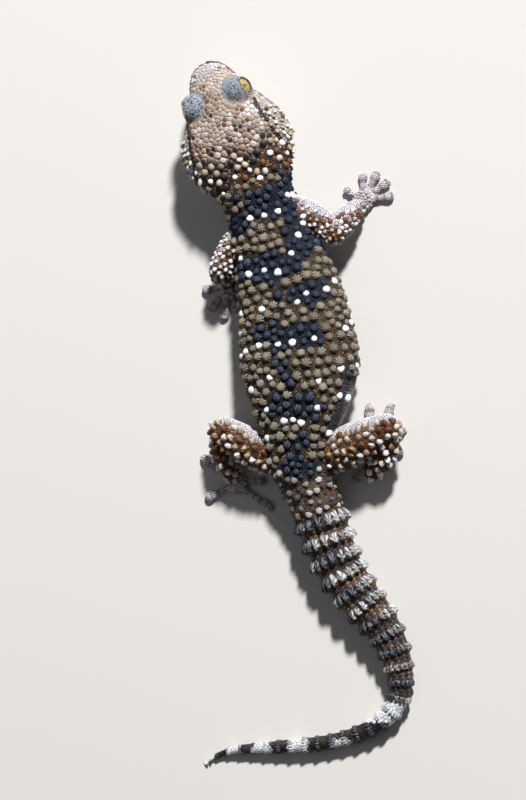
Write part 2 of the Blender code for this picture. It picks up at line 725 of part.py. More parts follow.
def build_paw(name, lower_limb):
    """A hand or foot and its five digits, flat on the floor."""
    centre, web, tips = HANDS[name]
    kind, side = name.split("_")
    palm = build_palm(name, centre, palm_outline(centre, web, tips))
    combined(palm, [limb_cutter(lower_limb)], "DIFFERENCE")
    nodes, beside = [palm], []
    for number, tip in enumerate(tips, 1):
        digit = lofted(f"{DIGIT_NAMES[kind]}_{side}_{number}", digit_rings(centre, web, tip), "pad")
        cutters = [lofted("cutter", digit_rings(centre, web, other, GAP, rests=False)) for other in beside]
        cutters.append(limb_cutter(lower_limb))
        combined(digit, cutters, "DIFFERENCE")
        beside = [tip]
        nodes.append(digit)
    return nodes


def main():
    for obj in list(bpy.data.objects):
        bpy.data.objects.remove(obj)
    random.seed(7)
    course = body_course()
    trunk, marks = build_trunk(course)
    tail, tail_marks = build_tail(course, course.nearest(TRUNK_CUTS["pelvis"]))
    nodes = build_head() + trunk + tail
    at_hips = [d for d in marks + tail_marks[:8] if d > marks[len(marks) // 2]]
    for side in ("left", "right"):
        arm_names, leg_names = (f"upper_arm_{side}", f"forearm_{side}"), (f"thigh_{side}", f"shank_{side}")
        nodes += build_limb(arm_names, UPPER_ARM[side], FOREARM[side], course, marks)
        nodes += build_limb(leg_names, THIGH[side], SHANK[side], course, at_hips)
        nodes += build_paw(f"hand_{side}", FOREARM[side])
        nodes += build_paw(f"foot_{side}", SHANK[side])
    body = bpy.data.objects.new("gecko", None)
    bpy.context.scene.collection.objects.link(body)
    for node in nodes:
        node.parent = body


main()
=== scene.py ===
"""Bibron's thick-toed gecko: the skin, scales, tubercles, eyes and toes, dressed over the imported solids."""

import math

import bmesh
import bpy
import numpy as np
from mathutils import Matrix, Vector, noise
from mathutils.bvhtree import BVHTree
from mathutils.kdtree import KDTree


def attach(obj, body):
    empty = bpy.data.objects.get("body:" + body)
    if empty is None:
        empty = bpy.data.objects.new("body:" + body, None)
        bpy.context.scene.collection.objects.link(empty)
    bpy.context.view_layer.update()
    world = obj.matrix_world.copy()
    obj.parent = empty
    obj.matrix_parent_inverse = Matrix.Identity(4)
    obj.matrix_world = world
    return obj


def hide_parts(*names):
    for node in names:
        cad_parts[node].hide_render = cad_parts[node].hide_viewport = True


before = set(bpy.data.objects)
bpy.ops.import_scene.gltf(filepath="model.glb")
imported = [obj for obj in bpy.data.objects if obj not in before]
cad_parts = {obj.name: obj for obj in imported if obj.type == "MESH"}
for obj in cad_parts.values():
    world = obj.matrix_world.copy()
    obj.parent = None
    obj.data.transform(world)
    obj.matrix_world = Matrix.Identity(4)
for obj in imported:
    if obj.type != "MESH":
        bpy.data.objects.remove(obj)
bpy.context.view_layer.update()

MM = 0.001
MIDDLE = np.array([0.95, 0.2, 0.0])
UP = np.array([0.0, 0.0, 1.0])
COAT = 0.16
RESTING = 0.14

TRUNK = [
    (-7.9, 46.3, 8.0, 8.1, 4.5),
    (-6.9, 43.0, 7.3, 7.3, 4.5),
    (-5.6, 39.0, 6.4, 7.1, 4.8),
    (-3.2, 32.2, 5.7, 8.8, 5.5),
    (-0.8, 23.5, 5.9, 10.5, 6.05),
    (0.8, 15.2, 6.1, 11.5, 6.3),
    (1.3, 10.0, 6.1, 11.8, 6.35),
    (1.35, 5.0, 5.9, 10.7, 6.15),
    (1.05, 0.0, 5.5, 9.0, 5.75),
    (0.95, -4.0, 5.1, 7.4, 5.35),
    (1.25, -8.4, 4.7, 6.7, 4.9),
    (2.4, -13.0, 4.2, 5.9, 4.35),
]
TAIL = [
    (4.0, -17.6, 3.75, 5.2, 3.9),
    (5.6, -22.5, 3.45, 5.1, 3.6),
    (7.4, -27.5, 3.25, 4.95, 3.4),
    (9.6, -32.0, 3.1, 4.65, 3.25),
    (12.8, -36.5, 2.9, 4.35, 3.05),
    (16.2, -40.6, 2.7, 3.95, 2.85),
    (18.9, -45.2, 2.45, 3.4, 2.6),
    (20.3, -49.0, 2.2, 2.95, 2.35),
    (20.9, -53.0, 1.95, 2.55, 2.1),
    (20.4, -56.8, 1.75, 2.25, 1.9),
    (18.2, -60.2, 1.6, 2.0, 1.75),
    (14.2, -62.9, 1.45, 1.8, 1.6),
    (9.5, -64.6, 1.35, 1.6, 1.5),
    (4.6, -65.7, 1.3, 1.55, 1.45),
    (-0.3, -66.2, 1.25, 1.5, 1.4),
    (-7.0, -66.7, 1.05, 1.25, 1.2),
    (-13.1, -67.2, 0.85, 0.95, 0.95),
    (-16.4, -68.2, 0.6, 0.7, 0.7),
    (-19.6, -70.1, 0.35, 0.25, 0.4),
]
HEAD_TURN, HEAD_PITCH, HEAD_ROLL = 22.0, 3.0, -4.0


def unit(vectors):
    """The same directions at length one."""
    return vectors / np.maximum(np.linalg.norm(vectors, axis=-1, keepdims=True), 1e-9)


def between(stations, marks, slopes, distance):
    """The values of a smooth curve through stations at these distances, and how fast they change."""
    i = np.clip(np.searchsorted(marks, distance, side="right") - 1, 0, len(marks) - 2)
    span = (marks[i + 1] - marks[i])[..., None]
    t = (distance - marks[i])[..., None] / span
    a, b, m, n = stations[i], stations[i + 1], slopes[i] * span, slopes[i + 1] * span
    value = a * (2 * t**3 - 3 * t**2 + 1) + m * (t**3 - 2 * t**2 + t)
    value += b * (3 * t**2 - 2 * t**3) + n * (t**3 - t**2)
    rate = (
        a * (6 * t**2 - 6 * t)
        + m * (3 * t**2 - 4 * t + 1)
        + b * (6 * t - 6 * t**2)
        + n * (3 * t**2 - 2 * t)
    )
    return value, rate


def slopes_of(stations, marks):
    """How fast a curve changes at each station, from the stations beside it."""
    low = np.maximum(np.arange(len(marks)) - 1, 0)
    high = np.minimum(np.arange(len(marks)) + 1, len(marks) - 1)
    return (stations[high] - stations[low]) / (marks[high] - marks[low])[:, None]


def oval(angle, width, rise, drop, squareness):
    """How far across and up a squarish oval's edge is at an angle."""
    c, s = np.cos(angle), np.sin(angle)
    tall = np.where(s >= 0, rise, drop)
    power = 2 / squareness
    return np.sign(c) * np.abs(c) ** power * width, np.sign(s) * np.abs(s) ** power * tall


class Limb:
    """The skin round a line of stations, read by the distance along it and the angle round it, 90 on top."""

    def __init__(self, stations, squareness=2.5, start=None):
        self.stations, self.squareness = np.array(stations, float), squareness
        steps = np.linalg.norm(np.diff(self.stations[:, :3], axis=0), axis=1)
        self.marks = np.concatenate([[0.0], np.cumsum(steps)])
        self.length = self.marks[-1]
        self.slopes = slopes_of(self.stations, self.marks)
        if start is not None:
            self.slopes[0, :3] = start

    def core(self, distance):
        """The centre, forward direction, half width and half height at each distance."""
        value, rate = between(self.stations, self.marks, self.slopes, np.clip(distance, 0, self.length))
        return value[..., :3], unit(rate[..., :3]), value[..., 3], value[..., 4]

    def skin(self, distance, angle, grow=0.0):
        centre, forward, width, height = self.core(distance)
        side = unit(np.cross(forward, UP))
        width, height = np.maximum(width + grow, 0.1), np.maximum(height + grow, 0.1)
        across, rise = oval(angle, width, height, height, self.squareness)
        place = centre + side * across[..., None] + np.cross(side, forward) * rise[..., None]
        place[..., 2] = np.maximum(place[..., 2], RESTING)
        return place


def turned(degrees, axis):
    """A turn about one axis of x, y and z, as a matrix."""
    c, s = math.cos(math.radians(degrees)), math.sin(math.radians(degrees))
    a, b = [(1, 2), (2, 0), (0, 1)]["xyz".index(axis)]
    matrix = np.eye(3)
    matrix[a, a] = matrix[b, b] = c
    matrix[a, b], matrix[b, a] = -s, s
    return matrix


HEAD_AXES = turned(HEAD_TURN, "z") @ turned(HEAD_PITCH, "x") @ turned(HEAD_ROLL, "y")
NAPE = np.array(TRUNK[0][:3])
back_line = Limb(TRUNK + TAIL, 2.5, start=-HEAD_AXES[:, 1])
HIP_AT = 59.6
PELVIS_CUT_Y = -12.9
WHORL_FIRST, WHORL_STEP, WHORL_GROWTH = 2.4, 2.2, 0.33
samples = np.linspace(0, back_line.length, 2000)
tail_start = samples[np.argmax(back_line.core(samples)[0][:, 1] < PELVIS_CUT_Y)]
whorl_runs = [tail_start + WHORL_FIRST]
while whorl_runs[-1] < back_line.length - 2:
    width = back_line.core(np.array(whorl_runs[-1]))[2]
    whorl_runs.append(whorl_runs[-1] + WHORL_STEP + WHORL_GROWTH * float(width))
whorl_runs = np.array(whorl_runs[:-1])

# The head
# A broad, flat wedge, widest at the jaw's hinge, with a round snout and swollen lips. Over each eye the
# brow stands up as a low dome. The crown, jaws and throat are one form, as they are under a living gecko's
# skin.
HEAD = [
    (0.3, 8.2, 4.2, 4.6),
    (2.6, 9.7, 4.7, 5.1),
    (5.6, 11.2, 5.1, 5.3),
    (8.8, 11.5, 5.3, 5.1),
    (12.0, 10.5, 5.2, 4.7),
    (15.2, 8.6, 4.8, 4.3),
    (18.4, 6.6, 4.0, 4.0),
    (21.4, 5.0, 2.9, 3.5),
    (23.4, 4.1, 2.0, 3.0),
    (24.8, 2.95, 1.2, 2.4),
    (25.5, 1.9, 0.5, 1.8),
    (25.8, 0.9, 0.0, 1.3),
]
MOUTH = [(8.6, -2.6), (10.0, -1.3), (13.0, -1.8), (18.0, -1.5), (23.0, -1.2), (27.5, -1.1)]
LIP_BULGE, LIP_HEIGHT = 0.35, 0.9
EYE_AT, GAZE, BROW_RADIUS = (4.8, 18.2, 1.9), (0.88, 0.12, 0.33), 3.05
HEAD_SQUARENESS = 2.35
SIDES = {"left": -1, "right": 1}


def mouth_height(forward):
    """How high the mouth line runs at a distance forward of the nape."""
    return np.interp(forward, [f for f, _ in MOUTH], [h for _, h in MOUTH])


def in_head(across, forward, up):
    """A place given in the head's own directions."""
    return NAPE + np.stack(np.broadcast_arrays(across, forward, up), -1) @ HEAD_AXES.T


class Head:
    """The skin of the head, by the distance forward of the nape and the angle round it, 90 on the crown."""

    def __init__(self):
        self.stations = np.array(HEAD)[:, 1:]
        self.marks = np.array(HEAD)[:, 0]
        self.slopes = slopes_of(self.stations, self.marks)

    def section(self, forward):
        held = np.clip(forward, self.marks[0], self.marks[-1])
        value, _ = between(self.stations, self.marks, self.slopes, held)
        return value[..., 0], value[..., 1], value[..., 2]

    def skin(self, forward, angle, grow=0.0):
        width, rise, drop = self.section(forward)
        middle = (rise - drop) / 2
        half = (rise + drop) / 2 + grow
        across, up = oval(angle, width + grow, half, half, HEAD_SQUARENESS)
        up = up + middle
        near = np.exp(-(((up - mouth_height(forward)) / LIP_HEIGHT) ** 2))
        across = across + np.sign(across) * np.where((forward > 10) & (width > 1), LIP_BULGE * near, 0)
        return in_head(across, forward, up)

    def beside(self, forward, height, sign):
        """The skin on one side of the head at a given height."""
        width, rise, drop = self.section(forward)
        middle, half = (rise - drop) / 2, (rise + drop) / 2
        share = np.clip(np.abs(height - middle) / half, 0, 1)
        across = width * (1 - share**HEAD_SQUARENESS) ** (1 / HEAD_SQUARENESS)
        near = np.exp(-(((height - mouth_height(forward)) / LIP_HEIGHT) ** 2))
        return in_head(sign * (across + np.where(width > 1, LIP_BULGE * near, 0)), forward, height)


head_line = Head()
eye_places = {s: in_head(EYE_AT[0] * n, EYE_AT[1], EYE_AT[2]) for s, n in SIDES.items()}
gazes = {s: unit(HEAD_AXES @ np.array([GAZE[0] * n, GAZE[1], GAZE[2]])) for s, n in SIDES.items()}

# Limbs, hands and feet
# Four bent limbs, each an upper and a lower part, held out flat to the sides. Hands and feet lie open on
# the floor, with five digits each that widen into a soft pad before the tip.
LIMBS = {
    "upper_arm_right": [(-2.0, 41.6, 5.6, 3.2, 3.0), (3.6, 39.8, 5.9, 3.0, 2.9), (8.1, 36.7, 5.8, 2.8, 2.7)],
    "upper_arm_left": [
        (-9.4, 38.0, 5.6, 2.9, 2.8),
        (-12.2, 34.0, 6.0, 2.6, 2.6),
        (-14.7, 29.2, 6.2, 2.5, 2.5),
    ],
    "forearm_right": [(8.1, 36.7, 5.6, 2.7, 2.6), (10.3, 39.2, 4.4, 2.6, 2.4), (12.0, 41.4, 2.5, 1.9, 1.6)],
    "forearm_left": [
        (-14.7, 29.2, 6.1, 2.4, 2.4),
        (-14.8, 27.8, 4.4, 2.3, 2.2),
        (-14.5, 26.8, 2.3, 1.8, 1.6),
    ],
    "thigh_right": [(4.0, -9.4, 4.5, 3.2, 2.8), (12.2, -5.6, 6.1, 4.2, 3.8), (18.9, -2.6, 6.9, 3.1, 3.0)],
    "thigh_left": [(-2.6, -9.8, 4.5, 3.1, 2.8), (-9.6, -5.9, 5.9, 3.7, 3.5), (-14.2, -3.1, 6.4, 3.0, 2.9)],
    "shank_right": [(18.9, -2.6, 6.5, 2.9, 2.8), (18.0, -7.6, 4.7, 2.8, 2.6), (15.3, -11.4, 2.4, 1.9, 1.7)],
    "shank_left": [(-14.2, -3.1, 6.0, 2.8, 2.8), (-14.6, -7.6, 4.4, 2.4, 2.3), (-13.4, -11.8, 2.4, 1.8, 1.7)],
}
PAWS = {
    "hand_right": ((12.9, 42.7), 3.2, [(9.4, 45.2), (13.0, 48.3), (16.0, 48.6), (18.4, 46.8), (19.2, 43.9)]),
    "hand_left": (
        (-14.4, 25.9), 2.6, [(-16.4, 30.0), (-19.8, 25.1), (-18.5, 20.8), (-15.6, 19.0), (-12.4, 20.5)],
    ),
    "foot_right": ((15.4, -8.0), 3.1, [(11.2, -13.4), (14.1, 2.4), (18.9, 2.5), (21.6, -2.4), (21.2, -7.2)]),
    "foot_left": (
        (-12.9, -13.7), 3.0, [(-13.6, -7.4), (-20.2, -8.2), (-19.2, -16.8), (-5.4, -19.0), (-7.0, -13.1)],
    ),
}
PALM_RADIUS = 2.1
DIGIT_HEIGHT = 1.25
DIGIT_PROFILE = [(-0.35, 0.55), (0.0, 0.62), (0.3, 0.66), (0.6, 0.98), (0.8, 1.04), (0.95, 0.74), (1.0, 0.3)]


def digit(centre, web, tip):
    """One finger or toe, from inside the palm to its round tip."""
    root, end = np.array([*centre, 0.0]), np.array([*tip, 0.0])
    along = unit(end - root)
    length = np.linalg.norm(end - root) - web
    stations = []
    for share, width in DIGIT_PROFILE:
        height = DIGIT_HEIGHT / 2 * (1 if share < 0.95 else 0.75 if share < 1 else 0.4)
        x, y, _ = root + along * (web + length * share)
        stations.append((x, y, height, width, height))
    return Limb(stations, 2.2)


limb_lines = {name: Limb(stations, 2.1) for name, stations in LIMBS.items()}
digit_lines = {}
for paw, (centre, web, tips) in PAWS.items():
    for number, tip in enumerate(tips, 1):
        digit_lines[f"{paw}_{number}"] = digit(centre, web, tip)

# The skin
# One thin, loose skin covers all the flesh without a seam. It lies under the scales by their depth, so that
# the tops of the scales reach the animal's true outline. The forms above are fused, and the joins are
# smoothed over.
VOXEL = 0.33
SKIN_PASSES = 5
FORM_STEP, TRUNK_SEGMENTS, LIMB_SEGMENTS, DIGIT_SEGMENTS = 0.4, 72, 24, 20
DOME_DEGREES, DOME_MARKS = (20, 40, 60, 78), np.array([0.5, 1.1, 1.7, 2.1])
DIGIT_COAT = 0.08


def tube(rings):
    """The points and faces of a closed tube through rings of equal count."""
    rows, count = rings.shape[:2]
    points = [*rings.reshape(-1, 3), rings[0].mean(0), rings[-1].mean(0)]
    i, k = np.meshgrid(np.arange(rows - 1), np.arange(count), indexing="ij")
    n = (k + 1) % count
    low, high = i * count, (i + 1) * count
    quads = np.stack([low + k, low + n, high + n, high + k], -1).reshape(-1, 4)
    faces = quads.tolist()
    for row, middle in ((0, rows * count), (rows - 1, rows * count + 1)):
        faces += [(row * count + k, row * count + (k + 1) % count, middle) for k in range(count)]
    return points, faces


def around(skin, distances, segments, grow):
    """Rings of skin at each distance."""
    angle = np.linspace(0, 2 * math.pi, segments, endpoint=False)
    return skin(np.repeat(distances[:, None], segments, 1), np.repeat(angle[None], len(distances), 0), grow)


def round_end(line, grow, segments):
    """Rings that close a limb's far end in a dome."""
    rings = []
    centre, forward, width, height = line.core(np.array(line.length))
    angle = np.linspace(0, 2 * math.pi, segments, endpoint=False)
    edge = line.skin(np.full(segments, line.length), angle, grow)
    for degrees in DOME_DEGREES:
        turn = math.radians(degrees)
        dome = forward * math.sin(turn) * (min(width, height) + grow)
        ring = centre + (edge - centre) * math.cos(turn) + dome
        ring[:, 2] = np.maximum(ring[:, 2], RESTING)
        rings.append(ring)
    return np.array(rings)


def ball(centre, radius, columns=32, rows=20):
    """Rings of a ball from pole to pole."""
    polar = np.linspace(0.02, math.pi - 0.02, rows)[:, None, None]
    turn = np.linspace(0, 2 * math.pi, columns, endpoint=False)[None, :, None]
    unit_ball = [np.sin(polar) * np.cos(turn), np.sin(polar) * np.sin(turn), np.cos(polar) + 0 * turn]
    return centre + np.concatenate(unit_ball, 2) * radius


def palm(centre, web, tips):
    """Rings of a low round palm that reaches a little way along each digit."""
    turn = np.linspace(0, 2 * math.pi, 48, endpoint=False)
    reach = np.full(48, PALM_RADIUS)
    for x, y in tips:
        off = np.angle(np.exp(1j * (turn - math.atan2(y - centre[1], x - centre[0]))))
        reach = np.maximum(reach, (web + 0.5) * np.exp(-((off / 0.3) ** 2)))
    rings = []
    for share, height in ((0.94, RESTING), (1.0, 0.5), (0.9, 1.15), (0.6, 1.75), (0.25, 1.9)):
        lowered = np.where(share < 0.7, 1, np.minimum(1, 1.25 * PALM_RADIUS / reach))
        ring = np.stack([np.cos(turn) * reach * share, np.sin(turn) * reach * share, height * lowered], -1)
        rings.append(ring + np.array([*centre, 0]))
    return np.array(rings)


WHORL_SWELL = 0.11


def swelling(distance):
    """How much each ring of the tail swells towards its rear edge."""
    edges = np.concatenate([[tail_start], whorl_runs, [back_line.length + 3]])
    ring = np.clip(np.searchsorted(edges, distance, side="right") - 1, 0, len(edges) - 2)
    share = np.clip((distance - edges[ring]) / (edges[ring + 1] - edges[ring]), 0, 1)
    return WHORL_SWELL * back_line.core(distance)[2] * (share**1.5 - 0.4) * (distance > tail_start)


FOLDS = [(1.6, 0.32), (3.9, 0.28), (6.0, 0.2), (52.5, 0.25), (54.6, 0.2)]
FOLD_WIDTH = 0.55


def folds(distance, angle):
    """How deep the loose skin creases across the sides of the neck and before the thighs."""
    side = np.clip(1.25 - 1.6 * np.abs(np.sin(angle)) ** 2, 0, 1)
    crease = sum(depth * np.exp(-(((distance - at) / FOLD_WIDTH) ** 2)) for at, depth in FOLDS)
    return crease[:, None] * side[None]


FINE_SNOUT = [24, 24.5, 25, 25.3, 25.6, 25.8]
body_marks = np.arange(0, back_line.length, FORM_STEP)
head_marks = np.concatenate([np.arange(-1, 24, 0.5), FINE_SNOUT])
body_turns = np.linspace(0, 2 * math.pi, TRUNK_SEGMENTS, endpoint=False)
body_grow = (swelling(body_marks) - COAT)[:, None] - folds(body_marks, body_turns)
forms = {"body": (around(back_line.skin, body_marks, TRUNK_SEGMENTS, body_grow), body_marks)}
forms["head"] = (around(head_line.skin, head_marks, TRUNK_SEGMENTS, -COAT), head_marks)
for side, place in eye_places.items():
    forms["brow_" + side] = (ball(place, BROW_RADIUS - COAT), np.linspace(0, 9, 20))
for name, line in limb_lines.items():
    marks = np.arange(0, line.length, FORM_STEP)
    sleeve = around(line.skin, marks, LIMB_SEGMENTS, -COAT)
    rings = np.concatenate([sleeve, round_end(line, -COAT, LIMB_SEGMENTS)])
    forms[name] = (rings, np.concatenate([marks, line.length + DOME_MARKS]))
for name, line in digit_lines.items():
    marks = np.linspace(0, line.length, 24)
    forms[name] = (around(line.skin, marks, DIGIT_SEGMENTS, -DIGIT_COAT), marks)
for name, paw in PAWS.items():
    forms[name] = (palm(*paw), np.linspace(0, 2, 5))


def added(name, data):
    """A new object in the scene."""
    thing = bpy.data.objects.new(name, data)
    bpy.context.scene.collection.objects.link(thing)
    return thing


skin_points, skin_faces = [], []
for rings, _ in forms.values():
    points, faces = tube(rings)
    skin_faces += [tuple(k + len(skin_points) for k in face) for face in faces]
    skin_points += points
skin_mesh = bpy.data.meshes.new("skin")
skin_mesh.from_pydata([tuple(p) for p in skin_points], [], skin_faces)
skin = added("skin", skin_mesh)
remesh = skin.modifiers.new("fuse", "REMESH")
remesh.mode = "VOXEL"
remesh.voxel_size = VOXEL
smooth = skin.modifiers.new("smooth", "SMOOTH")
smooth.factor, smooth.iterations = 0.5, SKIN_PASSES
fused = bpy.data.meshes.new_from_object(skin.evaluated_get(bpy.context.evaluated_depsgraph_get()))
skin.modifiers.clear()
skin.data = fused


def vertices_of(mesh, kind="co"):
    """A mesh's vertex places, or its normals."""
    values = np.empty(len(mesh.vertices) * 3, np.float32)
    if kind == "co":
        mesh.vertices.foreach_get("co", values)
    else:
        mesh.vertex_normals.foreach_get("vector", values)
    return values.reshape(-1, 3).astype(float)


def set_vertices(mesh, places):
    mesh.vertices.foreach_set("co", places.astype(np.float32).ravel())
    mesh.update()


# Eye openings, nostrils, ear pits and the line of the mouth
# The lids are fused into a clear scale over the eye, so the opening is a round window with a low rim. The
# nostril is a small round hole near the tip, and the ear an upright slit behind the jaw.
WINDOW_ANGLE, BEAD_ANGLE = 41.0, 42.5
WINDOW_FLATTEN = 1.35
SOCKET_RADIUS = 2.0
NOSTRIL_FORWARD, NOSTRIL_TURN, NOSTRIL_RADIUS, NOSTRIL_DEPTH = 23.9, 48, 0.42, 0.8
EAR_AT, EAR_SIZE, EAR_DEPTH = (10.9, 5.0, -0.6), (2.0, 0.55, 1.45), 1.7
MOUTH_GROOVE = 0.3
NOSTRIL_REACH, EAR_REACH, LINE_REACH = 1.5, 2.4, 0.8


def lid_axes(side):
    """The directions along and across an eye's opening."""
    along = unit(np.cross(gazes[side], UP))
    return along, np.cross(along, gazes[side])


def off_gaze(places, side):
    """The angle of each place off an eye's gaze, in degrees, stretched above and below to an oval."""
    out = places - eye_places[side]
    along, over = lid_axes(side)
    return np.degrees(np.arctan2(np.hypot(out @ along, out @ over * WINDOW_FLATTEN), out @ gazes[side]))


nostrils, ears = [], []
for sign in (-1, 1):
    angle = math.radians(90 - NOSTRIL_TURN * sign)
    nostrils.append(head_line.skin(np.array(NOSTRIL_FORWARD), np.array(angle)))
    ears.append(in_head(EAR_AT[0] * sign, EAR_AT[1], EAR_AT[2]))
fine_skin = bmesh.new()
fine_skin.from_mesh(skin.data)
places = vertices_of(skin.data)
mesh_in_head = (places - NAPE) @ HEAD_AXES
fine = np.abs(mesh_in_head[:, 2] - mouth_height(mesh_in_head[:, 1])) < LINE_REACH
fine &= (mesh_in_head[:, 1] > MOUTH[0][0] - 1) & (np.abs(mesh_in_head[:, 0]) < 13) & (mesh_in_head[:, 1] < 30)
for centre, reach in [*((n, NOSTRIL_REACH) for n in nostrils), *((e, EAR_REACH) for e in ears)]:
    fine |= np.linalg.norm(places - centre, axis=1) < reach
for side in SIDES:
    fine |= np.linalg.norm(places - eye_places[side], axis=1) < BROW_RADIUS + 1.0
edges = [e for e in fine_skin.edges if fine[e.verts[0].index] and fine[e.verts[1].index]]
bmesh.ops.subdivide_edges(fine_skin, edges=edges, cuts=1, use_grid_fill=True, smooth=0.0)
fine_skin.to_mesh(skin.data)
fine_skin.free()
places, normals = vertices_of(skin.data), vertices_of(skin.data, "normal")
mesh_in_head = (places - NAPE) @ HEAD_AXES
for side in SIDES:
    out = places - eye_places[side]
    reach = np.linalg.norm(out, axis=1)
    window = (off_gaze(places, side) < WINDOW_ANGLE) & (reach > SOCKET_RADIUS) & (reach < BROW_RADIUS + 1.2)
    places[window] = eye_places[side] + unit(out[window]) * SOCKET_RADIUS

pits = np.zeros(len(places))
for sign, nostril in zip((-1, 1), nostrils):
    near = np.linalg.norm(places - nostril, axis=1) / NOSTRIL_RADIUS
    hole = np.exp(-(near**4))
    rim = np.exp(-(((near - 1.7) / 0.5) ** 2))
    places += normals * (0.16 * rim - NOSTRIL_DEPTH * hole)[:, None]
    off = (mesh_in_head - np.array([EAR_AT[0] * sign, EAR_AT[1], EAR_AT[2]])) / np.array(EAR_SIZE)
    slot = np.exp(-(np.linalg.norm(off, axis=1) ** 4))
    places -= normals * (EAR_DEPTH * slot)[:, None]
    pits = np.maximum(pits, np.maximum(hole, slot))
off_mouth = np.abs(mesh_in_head[:, 2] - mouth_height(mesh_in_head[:, 1]))
along_mouth = (mesh_in_head[:, 1] > MOUTH[0][0]) & (np.linalg.norm(mesh_in_head[:, :2], axis=1) < 27)
groove = np.where(along_mouth, np.exp(-((off_mouth / 0.22) ** 2)), 0)
places -= normals * (MOUTH_GROOVE * groove)[:, None]
set_vertices(skin.data, places)
skin_tree = BVHTree.FromPolygons([tuple(p) for p in places], [tuple(f.vertices) for f in skin.data.polygons])

# The markings
# The skin is dark navy and brown in bands across the back, with a broken line down the spine. The head is
# sandy grey with a dark stripe behind each eye, the limbs maroon, the tail banded, and the underside cream.
rng = np.random.default_rng(6)
PIXEL, CAMERA_LEAN = 0.2, math.radians(12)
LEAN_COS, LEAN_SIN = math.cos(CAMERA_LEAN), math.sin(CAMERA_LEAN)
SIGHT = np.array([LEAN_SIN, 0, LEAN_COS])
MIDDLE_PX, MIDDLE_PY = 300, 415
DARK_PATCHES_PX = [
    (275, 204, 34, 15),
    (297, 239, 16, 26),
    (266, 268, 29, 14),
    (312, 291, 20, 14),
    (279, 303, 5, 16),
    (287, 337, 38, 14),
    (287, 375, 5, 18),
    (293, 407, 29, 12),
    (295, 444, 14, 8),
    (298, 468, 20, 8),
    (288, 176, 8, 20),
    (240, 225, 9, 14),
]
TAIL_BANDS_PX = [(524, 7), (556, 13), (594, 9), (630, 14), (655, 8), (688, 12), (734, 6)]
# The lighter blue stands for glints on the navy granules: painted highlight.
NAVY, NAVY_GLINT = (0.005, 0.0068, 0.015), (0.018, 0.03, 0.062)
DARK_BROWN, RUST = (0.02, 0.012, 0.007), (0.16, 0.06, 0.02)
OLIVE, NET_TAN = (0.112, 0.1, 0.08), (0.15, 0.098, 0.052)
HEAD_NET, HEAD_GREY, HEAD_BROWN = (0.47, 0.35, 0.26), (0.32, 0.3, 0.29), (0.1, 0.05, 0.03)
BROW_GREY, MAROON = (0.27, 0.31, 0.365), (0.1, 0.04, 0.02)
# The flank grey is painted shade on the lower flank.
LILAC, BELLY, FLANK_SHADE_GREY = (0.56, 0.52, 0.6), (0.5, 0.45, 0.39), (0.04, 0.047, 0.06)
SNOUT_WHITE = (0.44, 0.405, 0.41)


def mix(low, high, share):
    """A blend of two colours, or rows of colours, by a share from 0 to 1."""
    return np.asarray(low) + (np.asarray(high) - np.asarray(low)) * np.asarray(share)[..., None]


def step(low, high, value):
    """0 below low, 1 above high, and smooth between."""
    t = np.clip((value - low) / (high - low), 0, 1)
    return t * t * (3 - 2 * t)


def pixels(place):
    """Where the photograph shows a place on the skin."""
    across = place[:, 0] * LEAN_COS - place[:, 2] * LEAN_SIN
    return MIDDLE_PX + across / PIXEL, MIDDLE_PY - place[:, 1] / PIXEL


def wander(place, size, seed):
    """A smooth random value from about -1 to 1 at each place."""
    return np.array([noise.noise(Vector(p / size + seed)) for p in place]) * 2


def darkness(place):
    """How dark the back is at each place, from 0 in the brown to 1 in the navy patches."""
    px, py = pixels(place)
    shift = 4 * wander(place, 2.2, 3.1)
    dark = np.zeros(len(place))
    for x, y, w, h in DARK_PATCHES_PX:
        reach = np.hypot((px + shift - x) / w, (py - shift - y) / h)
        dark = np.maximum(dark, 1 - step(0.85, 1.3, reach))
    return np.maximum(dark, 0.6 * step(0.2, 0.9, wander(place, 3.5, 5.5)))


# Where each spot of the skin belongs
# Every spot keeps the name of the part that it covers, how far along that part it is, and its angle round
# it. Scales follow these, and lie back towards the tail, or towards the tips of the digits.
form_names = list(forms)
home_tree = KDTree(sum(rings.shape[0] * rings.shape[1] for rings, _ in forms.values()))
home_form, home_run, home_turn = [], [], []
for number, (rings, marks) in enumerate(forms.values()):
    for ring, mark in zip(rings, marks):
        for k, point in enumerate(ring):
            home_tree.insert(point, len(home_form))
            home_form.append(number)
            home_run.append(mark)
            home_turn.append(2 * math.pi * k / len(ring))
home_tree.balance()
home_form, home_run, home_turn = np.array(home_form), np.array(home_run), np.array(home_turn)


def flow_at(form, run):
    """The direction in which scales lie at each spot."""
    flow = np.zeros((len(form), 3))
    for number, name in enumerate(form_names):
        here = form == number
        if not here.any():
            continue
        line = back_line if name == "body" else limb_lines.get(name) or digit_lines.get(name)
        flow[here] = line.core(run[here])[1] if line else -HEAD_AXES[:, 1]
        if name in PAWS:
            flow[here] = (0, 1, 0) if "hand" in name or name == "foot_right" else (0, -1, 0)
    return flow


def home_of(place):
    """Form, run and turn of the spot of skin nearest to each place."""
    index = np.array([home_tree.find(p)[1] for p in place])
    return home_form[index], home_run[index], home_turn[index]


def named(*starts):
    """The numbers of the forms whose names start with one of these words."""
    return [k for k, name in enumerate(form_names) if name.startswith(starts)]


IS_BODY, IS_HEAD, IS_BROW = named("body"), named("head"), named("brow")
IS_ARM, IS_LEG = named("upper_arm", "forearm"), named("thigh", "shank")
IS_DIGIT = [form_names.index(name) for name in digit_lines]
IS_PALM = [form_names.index(name) for name in PAWS]

# How scales are laid
# Scales grow side by side and press against each other, so each fills the room that its neighbours leave
# it. The large ones are laid first, and the granules then fill the skin between them.
KINDS = "gap lip lid white keeled spine pebble annulus ring granule crown brow lamella".split()
site_place, site_radius, site_kind = np.zeros((0, 3)), np.zeros(0), np.zeros(0, int)
site_form, site_run, site_turn = np.zeros(0, int), np.zeros(0), np.zeros(0)


